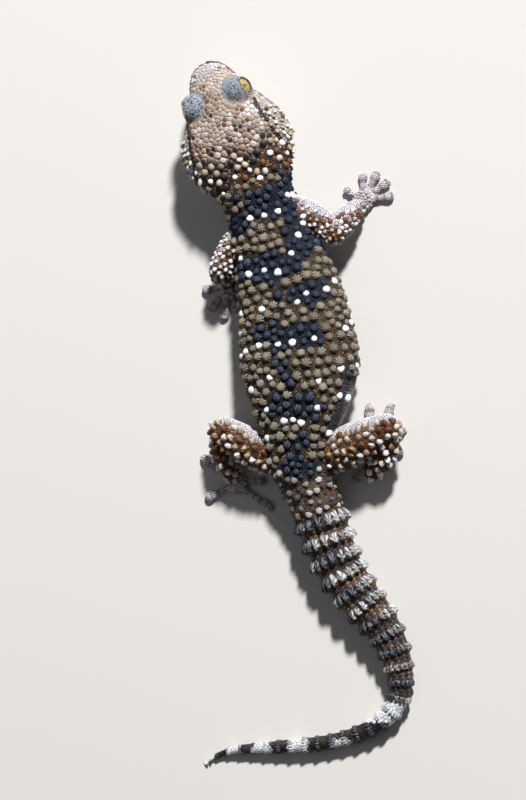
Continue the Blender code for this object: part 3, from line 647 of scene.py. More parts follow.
def tree_of(places):
    tree = KDTree(len(places))
    for k, p in enumerate(places):
        tree.insert(p, k)
    tree.balance()
    return tree


def on_skin(places, reach=0.5):
    """The nearest spots of skin, and which of the places were within reach of it."""
    found = [skin_tree.find_nearest(p) for p in places]
    spots = np.array([f[0] for f in found]).reshape(-1, 3)
    return spots, np.array([f[3] < reach for f in found], bool)


def lay(kind, places, radius, fill=0.8, form=None, run=None, turn=None, reach=0.5):
    """Sets sites of one kind, in order, wherever they stand clear of those that were set before."""
    global site_place, site_radius, site_kind, site_form, site_run, site_turn
    if not len(places):
        return
    radius = np.broadcast_to(np.asarray(radius, float), len(places))
    spots, alive = (places, np.ones(len(places), bool)) if reach is None else on_skin(places, reach)
    tree, widest = tree_of(spots), radius.max()
    for p, r in zip(site_place, site_radius):
        for _, k, gap in tree.find_range(p, fill * (r + widest)):
            if gap < fill * (r + radius[k]):
                alive[k] = False
    for i in range(len(spots)):
        if alive[i]:
            for _, k, gap in tree.find_range(spots[i], fill * (radius[i] + widest)):
                if k > i and gap < fill * (radius[i] + radius[k]):
                    alive[k] = False
    spots, radius = spots[alive], radius[alive]
    if form is None:
        form, run, turn = home_of(spots)
    else:
        form, run, turn = (np.broadcast_to(v, len(places))[alive] for v in (form, run, turn))
    site_place = np.concatenate([site_place, spots])
    site_radius = np.concatenate([site_radius, radius])
    site_kind = np.concatenate([site_kind, np.full(len(spots), KINDS.index(kind))])
    site_form = np.concatenate([site_form, form])
    site_run = np.concatenate([site_run, run])
    site_turn = np.concatenate([site_turn, turn])


def rows(line, start, end, pitch, across, jitter=0.1, first_turn=0.0, last_turn=2 * math.pi):
    """Sites in staggered rows round a form: places, runs and turns."""
    runs, turns = [], []
    distance, odd = start, 0
    while distance < end:
        fine = np.linspace(first_turn, last_turn, 241)
        ring = line.skin(np.full(241, distance), fine)
        marks = np.concatenate([[0], np.cumsum(np.linalg.norm(np.diff(ring, axis=0), axis=1))])
        count = max(3, round(marks[-1] / across))
        at = (np.arange(count) + 0.5 * odd + rng.uniform(-jitter, jitter, count)) * marks[-1] / count
        turns.append(np.interp(at % marks[-1], marks, fine))
        runs.append(np.full(count, distance) + rng.uniform(-jitter, jitter, count) * pitch)
        distance += pitch
        odd = 1 - odd
    runs, turns = np.concatenate(runs), np.concatenate(turns)
    return line.skin(runs, turns), runs, turns


# Lips, nostrils, ears and lids
# A row of larger shield-like scales edges each lip, with the dark line of the mouth between the rows. Small
# beads ring the eye openings. Nothing is laid over those, nor over the nostrils and ears.
LIP_SCALE, LIP_OFF, LIP_ROW = 1.45, 0.7, 0.66
BEAD = 0.16
PIT_EDGE = 0.35


def spaced(path, pitch):
    """Points at even distances along a path of close points."""
    marks = np.concatenate([[0], np.cumsum(np.linalg.norm(np.diff(path, axis=0), axis=1))])
    count = round(marks[-1] / pitch)
    at = (np.arange(count) + 0.5) * marks[-1] / count
    return np.stack([np.interp(at, marks, path[:, k]) for k in range(3)], -1)


def along_mouth_line(off, first=9.0):
    """The path round the snout at a height off the mouth line, from the left corner to the right."""
    forward = np.concatenate([np.arange(first, 24, 0.4), [24.4, 24.8, 25.2, 25.5, 25.7, 25.8]])
    left = head_line.beside(forward, mouth_height(forward) + off, -1)
    right = head_line.beside(forward, mouth_height(forward) + off, 1)
    return np.concatenate([left, right[::-1]])


def lid_ring(side, degrees, radius, count):
    """Points round an eye's opening, at an angle off its gaze."""
    along, over = lid_axes(side)
    turn = np.linspace(0, 2 * math.pi, count, endpoint=False)[:, None]
    spread = math.tan(math.radians(degrees))
    ring = gazes[side] + spread * (np.cos(turn) * along + np.sin(turn) * over / WINDOW_FLATTEN)
    return eye_places[side] + radius * unit(ring)


lay("gap", spaced(along_mouth_line(0.0), 0.3), 0.09, fill=0.3, reach=1.0)
for side in SIDES:
    brow = form_names.index("brow_" + side)
    for degrees in (40, 30, 20, 8):
        count = max(4, round(40 * math.sin(math.radians(degrees))))
        inside = lid_ring(side, degrees, SOCKET_RADIUS, count)
        lay("gap", inside, 0.2, fill=0.3, reach=1.0)
    beads = lid_ring(side, BEAD_ANGLE, BROW_RADIUS - 0.1, 46)
    lay("lid", beads, BEAD, fill=0.6, form=brow, run=9.0, turn=np.linspace(0, 6.28, 46), reach=0.9)
lay("gap", vertices_of(skin.data)[pits > PIT_EDGE], 0.2, fill=0.5)
lay("lip", spaced(along_mouth_line(LIP_OFF), LIP_SCALE), LIP_ROW, fill=0.42, reach=1.5)
lay("lip", spaced(along_mouth_line(-LIP_OFF), LIP_SCALE), LIP_ROW, fill=0.42, reach=1.5)

# White tubercles
# Smooth pearl-white knobs stand in loose bands over the back, each set by where the photograph shows it. A
# ray from the camera through that spot finds the skin.
WHITE_RADIUS = 0.86
WHITES_PX = [
    (250, 219), (264, 216), (278, 212), (287, 196), (292, 196), (303, 199), (303, 217), (303, 224),
    (298, 236), (291, 254), (241, 259), (249, 275), (264, 271), (278, 273), (334, 282), (326, 290),
    (306, 294), (297, 303), (262, 310), (242, 314), (239, 307), (347, 303), (351, 317), (350, 323),
    (345, 329), (240, 333), (314, 339), (292, 343), (278, 345), (259, 346), (246, 352), (241, 356),
    (356, 366), (340, 369), (318, 381), (270, 378), (252, 390), (339, 396), (347, 398), (317, 408),
    (267, 410), (284, 421), (293, 420), (301, 423), (268, 438), (328, 433), (250, 171), (235, 178),
    (260, 179), (211, 182), (224, 194), (240, 161), (291, 144), (282, 144), (287, 154), (189, 168),
    (270, 154), (329, 466),
]  # fmt: skip


def seen_at(pairs):
    """The spots of skin that the photograph shows at these pixels, all on the upper side."""
    spots = []
    for px, py in pairs:
        across = (px - MIDDLE_PX) * PIXEL
        start = np.array([across * LEAN_COS, (MIDDLE_PY - py) * PIXEL, -across * LEAN_SIN])
        hit = skin_tree.ray_cast(start + SIGHT * 60, -SIGHT)[0]
        if hit is None:
            near = skin_tree.find_nearest(start + SIGHT * 6)
            hit = near[0] if near[3] < 3 else None
        if hit is not None:
            spots.append(hit)
    return np.array(spots)


whites = seen_at(WHITES_PX)
size = WHITE_RADIUS * rng.uniform(0.75, 1.06, len(whites)) * np.where(home_of(whites)[0] == 0, 1.0, 0.8)
lay("white", whites, size, fill=0.6, reach=3)

# Tubercles of the back and nape
# The large keeled tubercles stand in rows, alternating, from the nape to the base of the tail. Each is a
# low cone with fine ribs. Towards the belly they shrink and end, and on the right flank a smooth fold of
# belly shows.
TUBERCLE_PITCH, TUBERCLE_RADIUS, SPARE_TUBERCLE = 2.25, 1.16, 0.82
PLAIN_RINGS = 2
spined_runs = whorl_runs[PLAIN_RINGS:]
BELLY_TURN = math.radians(-22)
FOLD_PY, FOLD_HALF, FOLD_TURN = 405, 34, math.radians(38)


def above_belly(turn, run):
    """How far each spot of the trunk lies above the edge of the belly, as a share from 0 at the edge."""
    height = np.arcsin(np.clip(np.sin(turn), -1, 1))
    _, py = pixels(back_line.core(run)[0])
    fold = np.where(np.cos(turn) < 0, 1 - step(0.5, 1.1, np.abs(py - FOLD_PY) / FOLD_HALF), 0)
    return height - (BELLY_TURN + (FOLD_TURN - BELLY_TURN) * fold)


place, run, turn = rows(back_line, 1.0, spined_runs[0] - 2.0, TUBERCLE_PITCH * 0.9, TUBERCLE_PITCH, 0.24)
keep = above_belly(turn, run) > 0.1
place, run, turn = place[keep], run[keep], turn[keep]
on_flank = 0.72 + 0.28 * step(0.0, 0.8, above_belly(turn, run))
radius = TUBERCLE_RADIUS * rng.uniform(0.74, 1.06, len(run)) * on_flank
radius *= (0.8 + 0.2 * step(2, 14, run)) * (1 - 0.35 * step(HIP_AT - 6, HIP_AT + 1, run))
lay("keeled", place, radius, fill=0.74, form=0, run=run, turn=turn)

# Spines and rows of the tail
# All rings of the tail but the first two carry up to eleven ribbed spines, set just before the rear edge
# and leaning back over the next. The rest is paved with flat scales in transverse rows.
SPINE_TURNS, SPINE_SHARE, SPINE_SETBACK = (-6, 13, 32, 51, 71, 90, 109, 129, 148, 167, 186), 0.19, 0.28
TAIL_ROW, TAIL_SCALE_ACROSS = 0.4, 3.6
spine_run = np.repeat(spined_runs, len(SPINE_TURNS))
spine_turn = np.tile(np.radians(SPINE_TURNS), len(spined_runs))
half = back_line.core(spine_run)[2]
spine_run = spine_run - SPINE_SETBACK * half
spine_radius = np.clip(SPINE_SHARE * half, 0.2, 1.05)
lay("spine", back_line.skin(spine_run, spine_turn), spine_radius, 0.45, 0, spine_run, spine_turn, 1)
edges = np.concatenate([[tail_start], whorl_runs, [back_line.length]])
for start, end in zip(edges[:-1], edges[1:]):
    pitch = (end - start) / max(3, round((end - start) / TAIL_ROW))
    place, run, turn = rows(back_line, start + pitch / 2, end, pitch, pitch * TAIL_SCALE_ACROSS, 0.04)
    lay("annulus", place, pitch * 0.5, 0.72, 0, run, turn, reach=0.9)

# Lesser tubercles, and pebbles of the nape, temples and limbs
# Smaller keeled tubercles fill the gaps between the rows of the back. Behind the eyes the crown's scales
# swell into smooth round knobs. The limbs are pebbled in the same way, and their undersides have only
# granules.
NAPE_PEBBLE, ARM_PEBBLE, LEG_PEBBLE, CHEEK_PEBBLE = 0.8, 0.52, 0.78, 0.5
skin.data.calc_loop_triangles()
triangles = np.empty(len(skin.data.loop_triangles) * 3, int)
skin.data.loop_triangles.foreach_get("vertices", triangles)
triangles = triangles.reshape(-1, 3)
places = vertices_of(skin.data)
corners = places[triangles]
areas = np.linalg.norm(np.cross(corners[:, 1] - corners[:, 0], corners[:, 2] - corners[:, 0]), axis=1) / 2
vertex_form, vertex_run, vertex_turn = home_of(places)
mesh_in_head = (places - NAPE) @ HEAD_AXES
normals = vertices_of(skin.data, "normal")


def scatter(kind, radius, fill=0.78, thick=8):
    """Fills open skin with sites of one kind, by a radius at each vertex, which is 0 for none."""
    size = radius[triangles[:, 0]]
    expected = np.where(size > 0, areas * thick / (2 * math.sqrt(3) * np.maximum(size, 0.05) ** 2), 0)
    index = np.repeat(np.arange(len(triangles)), rng.poisson(expected))
    index = rng.permutation(index)
    a, b = np.sqrt(rng.random(len(index)))[:, None], rng.random(len(index))[:, None]
    spots = corners[index, 0] * (1 - a) + corners[index, 1] * a * (1 - b) + corners[index, 2] * a * b
    first = triangles[index, 0]
    lay(kind, spots, size[index], fill, vertex_form[first], vertex_run[first], vertex_turn[first], reach=None)


across, forward, up = mesh_in_head.T
on_head = np.isin(vertex_form, IS_HEAD)
trunk, above = np.isin(vertex_form, IS_BODY), above_belly(vertex_turn, vertex_run)
open_back = trunk & (vertex_run < tail_start) & (above > 0.2)
scatter("keeled", np.where(open_back, SPARE_TUBERCLE, 0), fill=0.84)
rear_of_head = on_head & (forward < 5.5 + 1.2 * np.cos(across)) & (up > -2.6) & (pits < 0.15)
size = NAPE_PEBBLE * (0.72 + 0.28 * step(-2, 3, up))
scatter("pebble", np.where(rear_of_head, size, 0), fill=0.92)
CHEEK_ACROSS = 8.6
cheek = on_head & (np.abs(across) > CHEEK_ACROSS) & (forward > 4) & (forward < 13)
cheek &= up > mouth_height(forward) + 0.8
scatter("pebble", np.where(cheek & ~rear_of_head & (pits < 0.15), CHEEK_PEBBLE, 0), fill=1.05)
upper = (normals[:, 2] > -0.25) & (normals[:, 1] < 0.55)
scatter("pebble", np.where(np.isin(vertex_form, IS_ARM) & upper, ARM_PEBBLE, 0), fill=0.86)
scatter("pebble", np.where(np.isin(vertex_form, IS_LEG) & upper, LEG_PEBBLE, 0), fill=0.84)
scatter("pebble", np.where(np.isin(vertex_form, IS_PALM) & upper, 0.36, 0), fill=1.0)

# Digits
# Each finger and toe is paved above with narrow scales in rings. Beneath the pad lie broad, soft plates
# side by side, which grip.
DIGIT_ROW, DIGIT_ACROSS = 0.35, 0.62
DIGIT_RADIUS, DIGIT_WRAP = 0.19, 0.35
LAMELLA_PITCH, PAD_FROM = 0.38, 0.4
for name, line in digit_lines.items():
    turns = -DIGIT_WRAP, math.pi + DIGIT_WRAP
    place, run, turn = rows(line, 0.5, line.length - 0.1, DIGIT_ROW, DIGIT_ACROSS, 0.06, *turns)
    lay("ring", place, DIGIT_RADIUS, 0.74, form_names.index(name), run, turn, reach=0.35)
    run = np.arange(PAD_FROM * line.length, line.length - 0.2, LAMELLA_PITCH)
    beneath = line.skin(run, np.full(len(run), -math.pi / 2))
    lay("lamella", beneath, LAMELLA_PITCH / 2, 0.6, form_names.index(name), run, -math.pi / 2, reach=0.5)

# Granules
# Fine pebbly granules fill all the skin between the larger scales: coarse on the crown and belly, finer on
# the back, flanks and limbs, and finest over the eyes.
BACK_GRANULE, BELLY_GRANULE, LIMB_GRANULE, NAPE_GRANULE = 0.22, 0.27, 0.2, 0.22
CROWN_GRANULE, SNOUT_GRANULE, THROAT_GRANULE, BROW_GRANULE = 0.45, 0.37, 0.23, 0.15
HAND_GRANULE, SPARE_CROWN, SMALLEST_CROWN = 0.28, 0.36, 0.29
RELAX_ROUNDS, RELAX_SHARE, LARGE_NEAR = 4, 0.3, 3
radius = np.full(len(places), LIMB_GRANULE)
radius[trunk] = np.where(above[trunk] > 0, BACK_GRANULE, BELLY_GRANULE)
radius[trunk & (vertex_run > tail_start)] = 0
radius[np.isin(vertex_form, IS_DIGIT + IS_PALM)] = HAND_GRANULE
pad_from = [PAD_FROM * digit_lines[n].length if n in digit_lines else 99 for n in form_names]
radius[(vertex_run > np.array(pad_from)[vertex_form] - 0.2) & (np.sin(vertex_turn) < -0.35)] = 0
off_mouth = up - mouth_height(forward)
crown = CROWN_GRANULE + (SNOUT_GRANULE - CROWN_GRANULE) * step(17, 22, forward)
crown = np.where(off_mouth < 0, THROAT_GRANULE, crown)
crown = np.where((off_mouth > 0) & (np.abs(across) > 7.4) & (forward < 17), 0.34, crown)
crown = np.where((off_mouth > 0) & (forward < 10.5), 0.42 + 0.26 * step(11, 7, forward), crown)
crown = np.where((off_mouth > 0) & (np.abs(across) > CHEEK_ACROSS) & (forward < 10.5), 0.3, crown)
crown = np.where((np.abs(off_mouth) < LIP_OFF + 0.5) & (forward > MOUTH[0][0]), 0, crown)
crown = np.where(rear_of_head, NAPE_GRANULE, crown)
radius[on_head] = crown[on_head]
for side in SIDES:
    reach = np.linalg.norm(places - eye_places[side], axis=1)
    radius[reach < BROW_RADIUS + 0.35] = BROW_GRANULE
    radius[(reach < BROW_RADIUS + 0.35) & (off_gaze(places, side) < BEAD_ANGLE + 2)] = 0
radius[pits > PIT_EDGE] = 0
fine = radius == BROW_GRANULE
crown_like = on_head & (radius > SMALLEST_CROWN)
scatter("brow", np.where(fine, radius, 0))
scatter("crown", np.where(crown_like, radius, 0))
scatter("crown", np.where(crown_like, SPARE_CROWN, 0), fill=0.95)
scatter("granule", np.where(fine | crown_like, 0, radius))
LARGE = np.isin(site_kind, [KINDS.index(k) for k in ("white", "keeled", "spine", "pebble")])
MOVES = np.isin(site_kind, [KINDS.index(k) for k in ("granule", "crown", "brow")])


def neighbours(count, large_count):
    """The nearest sites of each site, and the nearest of the large ones."""
    every, big = tree_of(site_place), tree_of(site_place[LARGE])
    big_numbers = np.flatnonzero(LARGE)
    near = np.array([[k for _, k, _ in every.find_n(p, count + 1)] for p in site_place])
    large = np.array([[k for _, k, _ in big.find_n(p, large_count)] for p in site_place])
    return np.concatenate([near, big_numbers[large]], 1)


for _ in range(RELAX_ROUNDS):
    near = neighbours(8, 2)
    off = site_place[:, None] - site_place[near]
    gap = np.maximum(np.linalg.norm(off, axis=2), 1e-6)
    want = site_radius[:, None] + site_radius[near]
    others = (near != np.arange(len(near))[:, None])[..., None]
    push = (off / gap[..., None] * np.clip(want - gap, 0, 1)[..., None] * others).sum(1)
    moved = site_place[MOVES] + push[MOVES] * RELAX_SHARE
    site_place[MOVES] = on_skin(moved)[0]
near = neighbours(13, LARGE_NEAR)
site_normal = np.array([skin_tree.find_nearest(p)[1] for p in site_place])
site_normal = unit(site_normal + site_normal[near[:, :7]].mean(1))
site_flow = flow_at(site_form, site_run)
site_flow = unit(site_flow - (site_flow * site_normal).sum(1, keepdims=True) * site_normal)
site_side = np.cross(site_normal, site_flow)

# The skin's colours and finish
# The skin itself shows only as fine lines between the scales, and carries the same markings as they do. It
# is thin, dry and finely wrinkled. Inside the nostrils and ears it is darkened as painted shade.
TIP_PY = 704
TAIL_TIP_BANDS_PX = [(370, 19), (320, 13), (279, 9), (246, 7), (220, 6)]
TIP_FROM_PY, TIP_UNDER_PX = 722, 389
STRIPE = [(0.0, 10.2), (5.0, 9.7), (10.0, 8.5), (16.0, 7.1)]
STRIPE_HALF = 0.38
LIMB_BELLY, TOE_TOP, TOE_BELLY = (0.4, 0.36, 0.34), (0.32, 0.27, 0.29), (0.5, 0.42, 0.4)
TAIL_BROWN, TAIL_WHITE, TAIL_BLACK = (0.075, 0.044, 0.024), (0.55, 0.57, 0.6), (0.024, 0.017, 0.015)
TEMPLE_GREY, BROW_SKIN, LIP_SKIN = (0.42, 0.4, 0.38), (0.075, 0.085, 0.105), (0.4, 0.37, 0.37)
# The pit colour is painted shade inside the nostrils and ears.
MOUTH_DARK, PIT_SHADE = (0.05, 0.03, 0.03), (0.02, 0.011, 0.01)


def ground(place, form, run, turn):
    """The colour of the bare skin at each spot."""
    colour = np.tile(np.array(MAROON), (len(place), 1))
    low = step(-0.1, -0.9, np.sin(turn))[:, None]
    body = np.isin(form, IS_BODY)
    dark = darkness(place)
    back = mix(NET_TAN, NAVY, dark)
    above = above_belly(turn, run)
    # Painted shade: the lower flank, between the back and the belly, is painted a dark blue-grey.
    below = mix(BELLY, FLANK_SHADE_GREY, step(-0.85, -0.25, above))
    colour = np.where(body[:, None], mix(below, back, step(-0.08, 0.1, above)), colour)
    tail = body & (run > tail_start)
    colour[tail] = mix(tail_ground(place[tail]), BELLY, low[tail, 0])
    head = np.isin(form, IS_HEAD + IS_BROW)
    colour[head] = head_ground(place[head])
    limb = np.isin(form, IS_ARM + IS_LEG)
    pale = step(0.3, -0.5, np.sin(turn[limb]))
    colour[limb] = mix(MAROON, LIMB_BELLY, pale)
    toe = np.isin(form, IS_DIGIT + IS_PALM)
    colour[toe] = mix(TOE_TOP, TOE_BELLY, low[toe, 0])
    return colour


def tail_ground(place):
    """Dark and light bands round the tail, which turn black and white towards its tip."""
    _, py = pixels(place)
    pale = mix(TAIL_BROWN, TAIL_WHITE, step(TIP_PY - 8, TIP_PY, py))
    return mix(pale, TAIL_BLACK, tail_dark(place))


def tail_dark(place):
    """How dark the tail is, from 0 in its pale bands to 1 in its dark ones."""
    px, py = pixels(place)
    shift = 2.5 * wander(place, 1.6, 8.7)
    dark = np.zeros(len(place))
    for y, half in TAIL_BANDS_PX:
        dark = np.maximum(dark, 1 - step(0.75, 1.15, np.abs(py + shift - y) / half))
    here = (py > TIP_FROM_PY) & (px < TIP_UNDER_PX)
    for x, half in TAIL_TIP_BANDS_PX:
        dark = np.maximum(dark, np.where(here, 1 - step(0.8, 1.15, np.abs(px + shift - x) / half), 0))
    return dark


def stripe(head):
    """How far each spot of the head lies in the dark stripe behind the eye."""
    centre = np.interp(head[:, 1], [f for f, _ in STRIPE], [a for _, a in STRIPE])
    off = np.abs(np.abs(head[:, 0]) - centre) / STRIPE_HALF
    return np.where((head[:, 1] < 15.6) & (head[:, 2] > -0.5), 1 - step(0.8, 1.3, off), 0)


def head_ground(place):
    """The colour of the skin between the head's scales."""
    head = (place - NAPE) @ HEAD_AXES
    colour = mix(RUST, HEAD_NET, step(2.5, 8.5, head[:, 1]))
    colour = mix(colour, SNOUT_WHITE, step(21.5, 24.5, head[:, 1]))
    colour = mix(colour, TEMPLE_GREY, step(7.5, 9.5, np.abs(head[:, 0])) * step(4, 8, head[:, 1]))
    colour = mix(colour, DARK_BROWN, stripe(head))
    for side in SIDES:
        reach = np.linalg.norm(place - eye_places[side], axis=1)
        colour = mix(colour, BROW_SKIN, step(BROW_RADIUS + 0.7, BROW_RADIUS + 0.2, reach))
    colour = mix(colour, BELLY, step(-1.6, -2.8, head[:, 2]))
    off_mouth = np.abs(head[:, 2] - mouth_height(head[:, 1]))
    colour = mix(colour, LIP_SKIN, step(2.0, 1.2, off_mouth) * (head[:, 1] > 8.6))
    lip = off_mouth < 0.28
    return mix(colour, MOUTH_DARK, lip & (head[:, 1] > 8.6))


def linked(material, kind, **inputs):
    """A new node of a material, with its inputs set or joined."""
    node = material.node_tree.nodes.new(kind)
    for name, value in inputs.items():
        socket = node.inputs[name.replace("_", " ")]
        if isinstance(value, bpy.types.NodeSocket):
            material.node_tree.links.new(value, socket)
        else:
            socket.default_value = value
    return node


def scaled(name, roughness, mottle, bump, sheen=0.0, shine=0.3):
    """The finish of scales and skin: the markings, slightly mottled, on a finely wrinkled surface."""
    material = bpy.data.materials.new(name)
    material.use_nodes = True
    shader = material.node_tree.nodes["Principled BSDF"]
    shader.inputs["Roughness"].default_value = roughness
    shader.inputs["Specular IOR Level"].default_value = shine
    shader.inputs["Coat Weight"].default_value = sheen
    shader.inputs["Coat Roughness"].default_value = 0.3
    where = linked(material, "ShaderNodeTexCoord").outputs["Object"]
    fleck = linked(material, "ShaderNodeTexNoise", Vector=where, Scale=4200.0, Detail=3.0)
    marks = linked(material, "ShaderNodeAttribute")
    marks.attribute_name = "Markings"
    level = linked(material, "ShaderNodeMapRange", Value=fleck.outputs["Fac"], From_Min=0.3, From_Max=0.7)
    level.inputs["To Min"].default_value = 1 - mottle
    level.inputs["To Max"].default_value = 1 + mottle
    tone = linked(material, "ShaderNodeVectorMath")
    tone.operation = "SCALE"
    material.node_tree.links.new(marks.outputs["Color"], tone.inputs[0])
    material.node_tree.links.new(level.outputs["Result"], tone.inputs["Scale"])
    material.node_tree.links.new(tone.outputs["Vector"], shader.inputs["Base Color"])
    wrinkle = linked(material, "ShaderNodeTexNoise", Vector=where, Scale=9000.0, Detail=2.0)
    rise = linked(material, "ShaderNodeBump", Height=wrinkle.outputs["Fac"], Strength=bump, Distance=0.0001)
    material.node_tree.links.new(rise.outputs["Normal"], shader.inputs["Normal"])
    return material


def dress(piece, slot, *nodes):
    """Gives a piece to the animal's one body, and hides the imported parts that it covers. The slot is not
    used.
    """
    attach(piece, "root")
    if nodes:
        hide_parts(*nodes)


def paint(mesh, colours):
    """Keeps a colour at each vertex."""
    layer = mesh.color_attributes.new("Markings", "FLOAT_COLOR", "POINT")
    full = np.ones((len(colours), 4), np.float32)
    full[:, :3] = np.clip(colours, 0, 1)
    layer.data.foreach_set("color", full.ravel())


# Painted shade: the skin inside the nostrils and ear openings is darkened.
pit_shade = step(0.35, 0.8, pits)
paint(skin.data, mix(ground(places, vertex_form, vertex_run, vertex_turn), PIT_SHADE, pit_shade))
set_vertices(skin.data, (places - MIDDLE) * MM)
skin.data.polygons.foreach_set("use_smooth", np.ones(len(skin.data.polygons), bool))
skin.data.materials.append(scaled("bare skin", 0.6, 0.15, 0.4))
flesh = [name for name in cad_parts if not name.startswith("eye")]
dress(skin, "back", *flesh)

# Forming scales
# Each scale is a small closed plate or knob of horn, sunk at its root. Its outline meets its neighbours',
# and rings of points rise from the rim to a crown that leans back.
GRANULE_PROFILE = [(1.0, -0.35, 0.0), (0.86, 0.5, 0.7), (0.45, 0.93, 1.0)]
KNOB_PROFILE = [(1.0, -0.2, 0.0), (0.96, 0.25, 0.35), (0.8, 0.62, 0.8), (0.52, 0.88, 1.0), (0.22, 0.98, 1.0)]
PLATE_PROFILE = [(1.0, -0.4, 0.0), (0.93, 0.45, 0.1), (0.78, 0.82, 0.9), (0.4, 0.98, 1.0)]
SHIELD_PROFILE = [(1.0, -0.5, 0.0), (0.97, 0.45, 0.2), (0.9, 0.85, 0.9), (0.6, 1.0, 1.0)]
CONE_PROFILE = [
    (1.0, -0.15, 0.0),
    (0.97, 0.12, 0.5),
    (0.84, 0.38, 1.0),
    (0.64, 0.64, 1.0),
    (0.42, 0.84, 1.0),
    (0.2, 0.96, 1.0),
]


def outlines(chosen, sides, cap):
    """How far each scale spreads at each of its sides before it meets its neighbours."""
    turn = np.linspace(0, 2 * math.pi, sides, endpoint=False)
    off = site_place[near[chosen]] - site_place[chosen][:, None]
    x = (off * site_flow[chosen][:, None]).sum(2)
    y = (off * site_side[chosen][:, None]).sum(2)
    gap = np.hypot(x, y)
    own = near[chosen] == chosen[:, None]
    share = site_radius[chosen][:, None] / (site_radius[chosen][:, None] + site_radius[near[chosen]])
    facing = np.cos(turn[None, :, None] - np.arctan2(y, x)[:, None, :])
    limit = np.where((facing > 0.1) & ~own[:, None], (gap * share)[:, None] / np.maximum(facing, 0.1), 9)
    return np.minimum(limit.min(2), cap * site_radius[chosen][:, None]), turn


ANY_PHASE, FULL_TURN = 6.28, 6.2832
RIB_SPREAD, RIBBED_FROM, ROOM = 0.045, 0.3, 0.98
CELL_EDGE, CELL_SPAN, PATCH_HALF = 0.03, 0.94, 0.0015


def ground_at(chosen):
    """The skin's own colour under each scale."""
    return ground(site_place[chosen], site_form[chosen], site_run[chosen], site_turn[chosen])


def pick(chosen, choices):
    """A random choice of colour for each scale, from (share, colour) pairs, a little lighter or darker."""
    shares = np.array([share for share, _ in choices])
    index = rng.choice(len(choices), len(chosen), p=shares / shares.sum())
    return np.array([colour for _, colour in choices])[index] * rng.uniform(0.8, 1.2, len(chosen))[:, None]


def shade(chosen, colour):
    """One colour for all these scales, a little lighter or darker on each."""
    return pick(chosen, [(1, colour)])


def tones(source, chosen):
    """Colours from a function, from (share, colour) pairs, or as a share of the bare skin's own."""
    if callable(source):
        return source(chosen)
    return pick(chosen, source) if isinstance(source, list) else ground_at(chosen) * source


def closed_scales(name, points, levels, sides):
    """A mesh of many closed scales, each of some rings of points and one point on top."""
    many, each = points.shape[:2]
    k = np.arange(sides)
    n = (k + 1) % sides
    last = (levels - 1) * sides
    quads = [np.stack([a + k, a + n, a + sides + n, a + sides + k], -1) for a in range(0, last, sides)]
    tips = np.stack([last + k, last + n, np.full(sides, each - 1)], -1)
    loops = np.concatenate([np.concatenate(quads).ravel(), tips.ravel(), k[::-1]])
    counts = np.concatenate([np.full(last, 4), np.full(sides, 3), [sides]])
    index = (loops[None] + each * np.arange(many)[:, None]).ravel()
    starts = np.concatenate([[0], np.cumsum(np.tile(counts, many))[:-1]])
    mesh = bpy.data.meshes.new(name)
    mesh.vertices.add(many * each)
    mesh.vertices.foreach_set("co", ((points.reshape(-1, 3) - MIDDLE) * MM).astype(np.float32).ravel())
    mesh.loops.add(len(index))
    mesh.loops.foreach_set("vertex_index", index.astype(np.int32))
    mesh.polygons.add(len(starts))
    mesh.polygons.foreach_set("loop_start", starts.astype(np.int32))
    mesh.polygons.foreach_set("use_smooth", np.ones(len(starts), bool))
    mesh.update(calc_edges=True)
    mesh.validate()
    return mesh


def unwrap(mesh, chosen, offsets):
    """Gives each scale a small patch of its own on the map for baking, set out by form, run and turn."""
    forms_here = np.unique(site_form[chosen])
    grid = math.ceil(math.sqrt(len(forms_here)))
    corner = np.zeros((len(chosen), 2))
    for cell, form in enumerate(forms_here):
        here = site_form[chosen] == form
        run = site_run[chosen][here]
        along = (run - run.min()) / max(float(np.ptp(run)), 1e-6)
        round_it = site_turn[chosen][here] / FULL_TURN % 1
        corner[here, 0] = (cell % grid + CELL_EDGE + CELL_SPAN * round_it) / grid
        corner[here, 1] = (cell // grid + CELL_EDGE + CELL_SPAN * along) / grid
    layer = mesh.uv_layers.new(name="OFBake")
    uv = (corner[:, None] + offsets * PATCH_HALF).reshape(-1, 2)
    loop_vertices = np.empty(len(mesh.loops), np.int32)
    mesh.loops.foreach_get("vertex_index", loop_vertices)
    layer.data.foreach_set("uv", uv[loop_vertices].astype(np.float32).ravel())


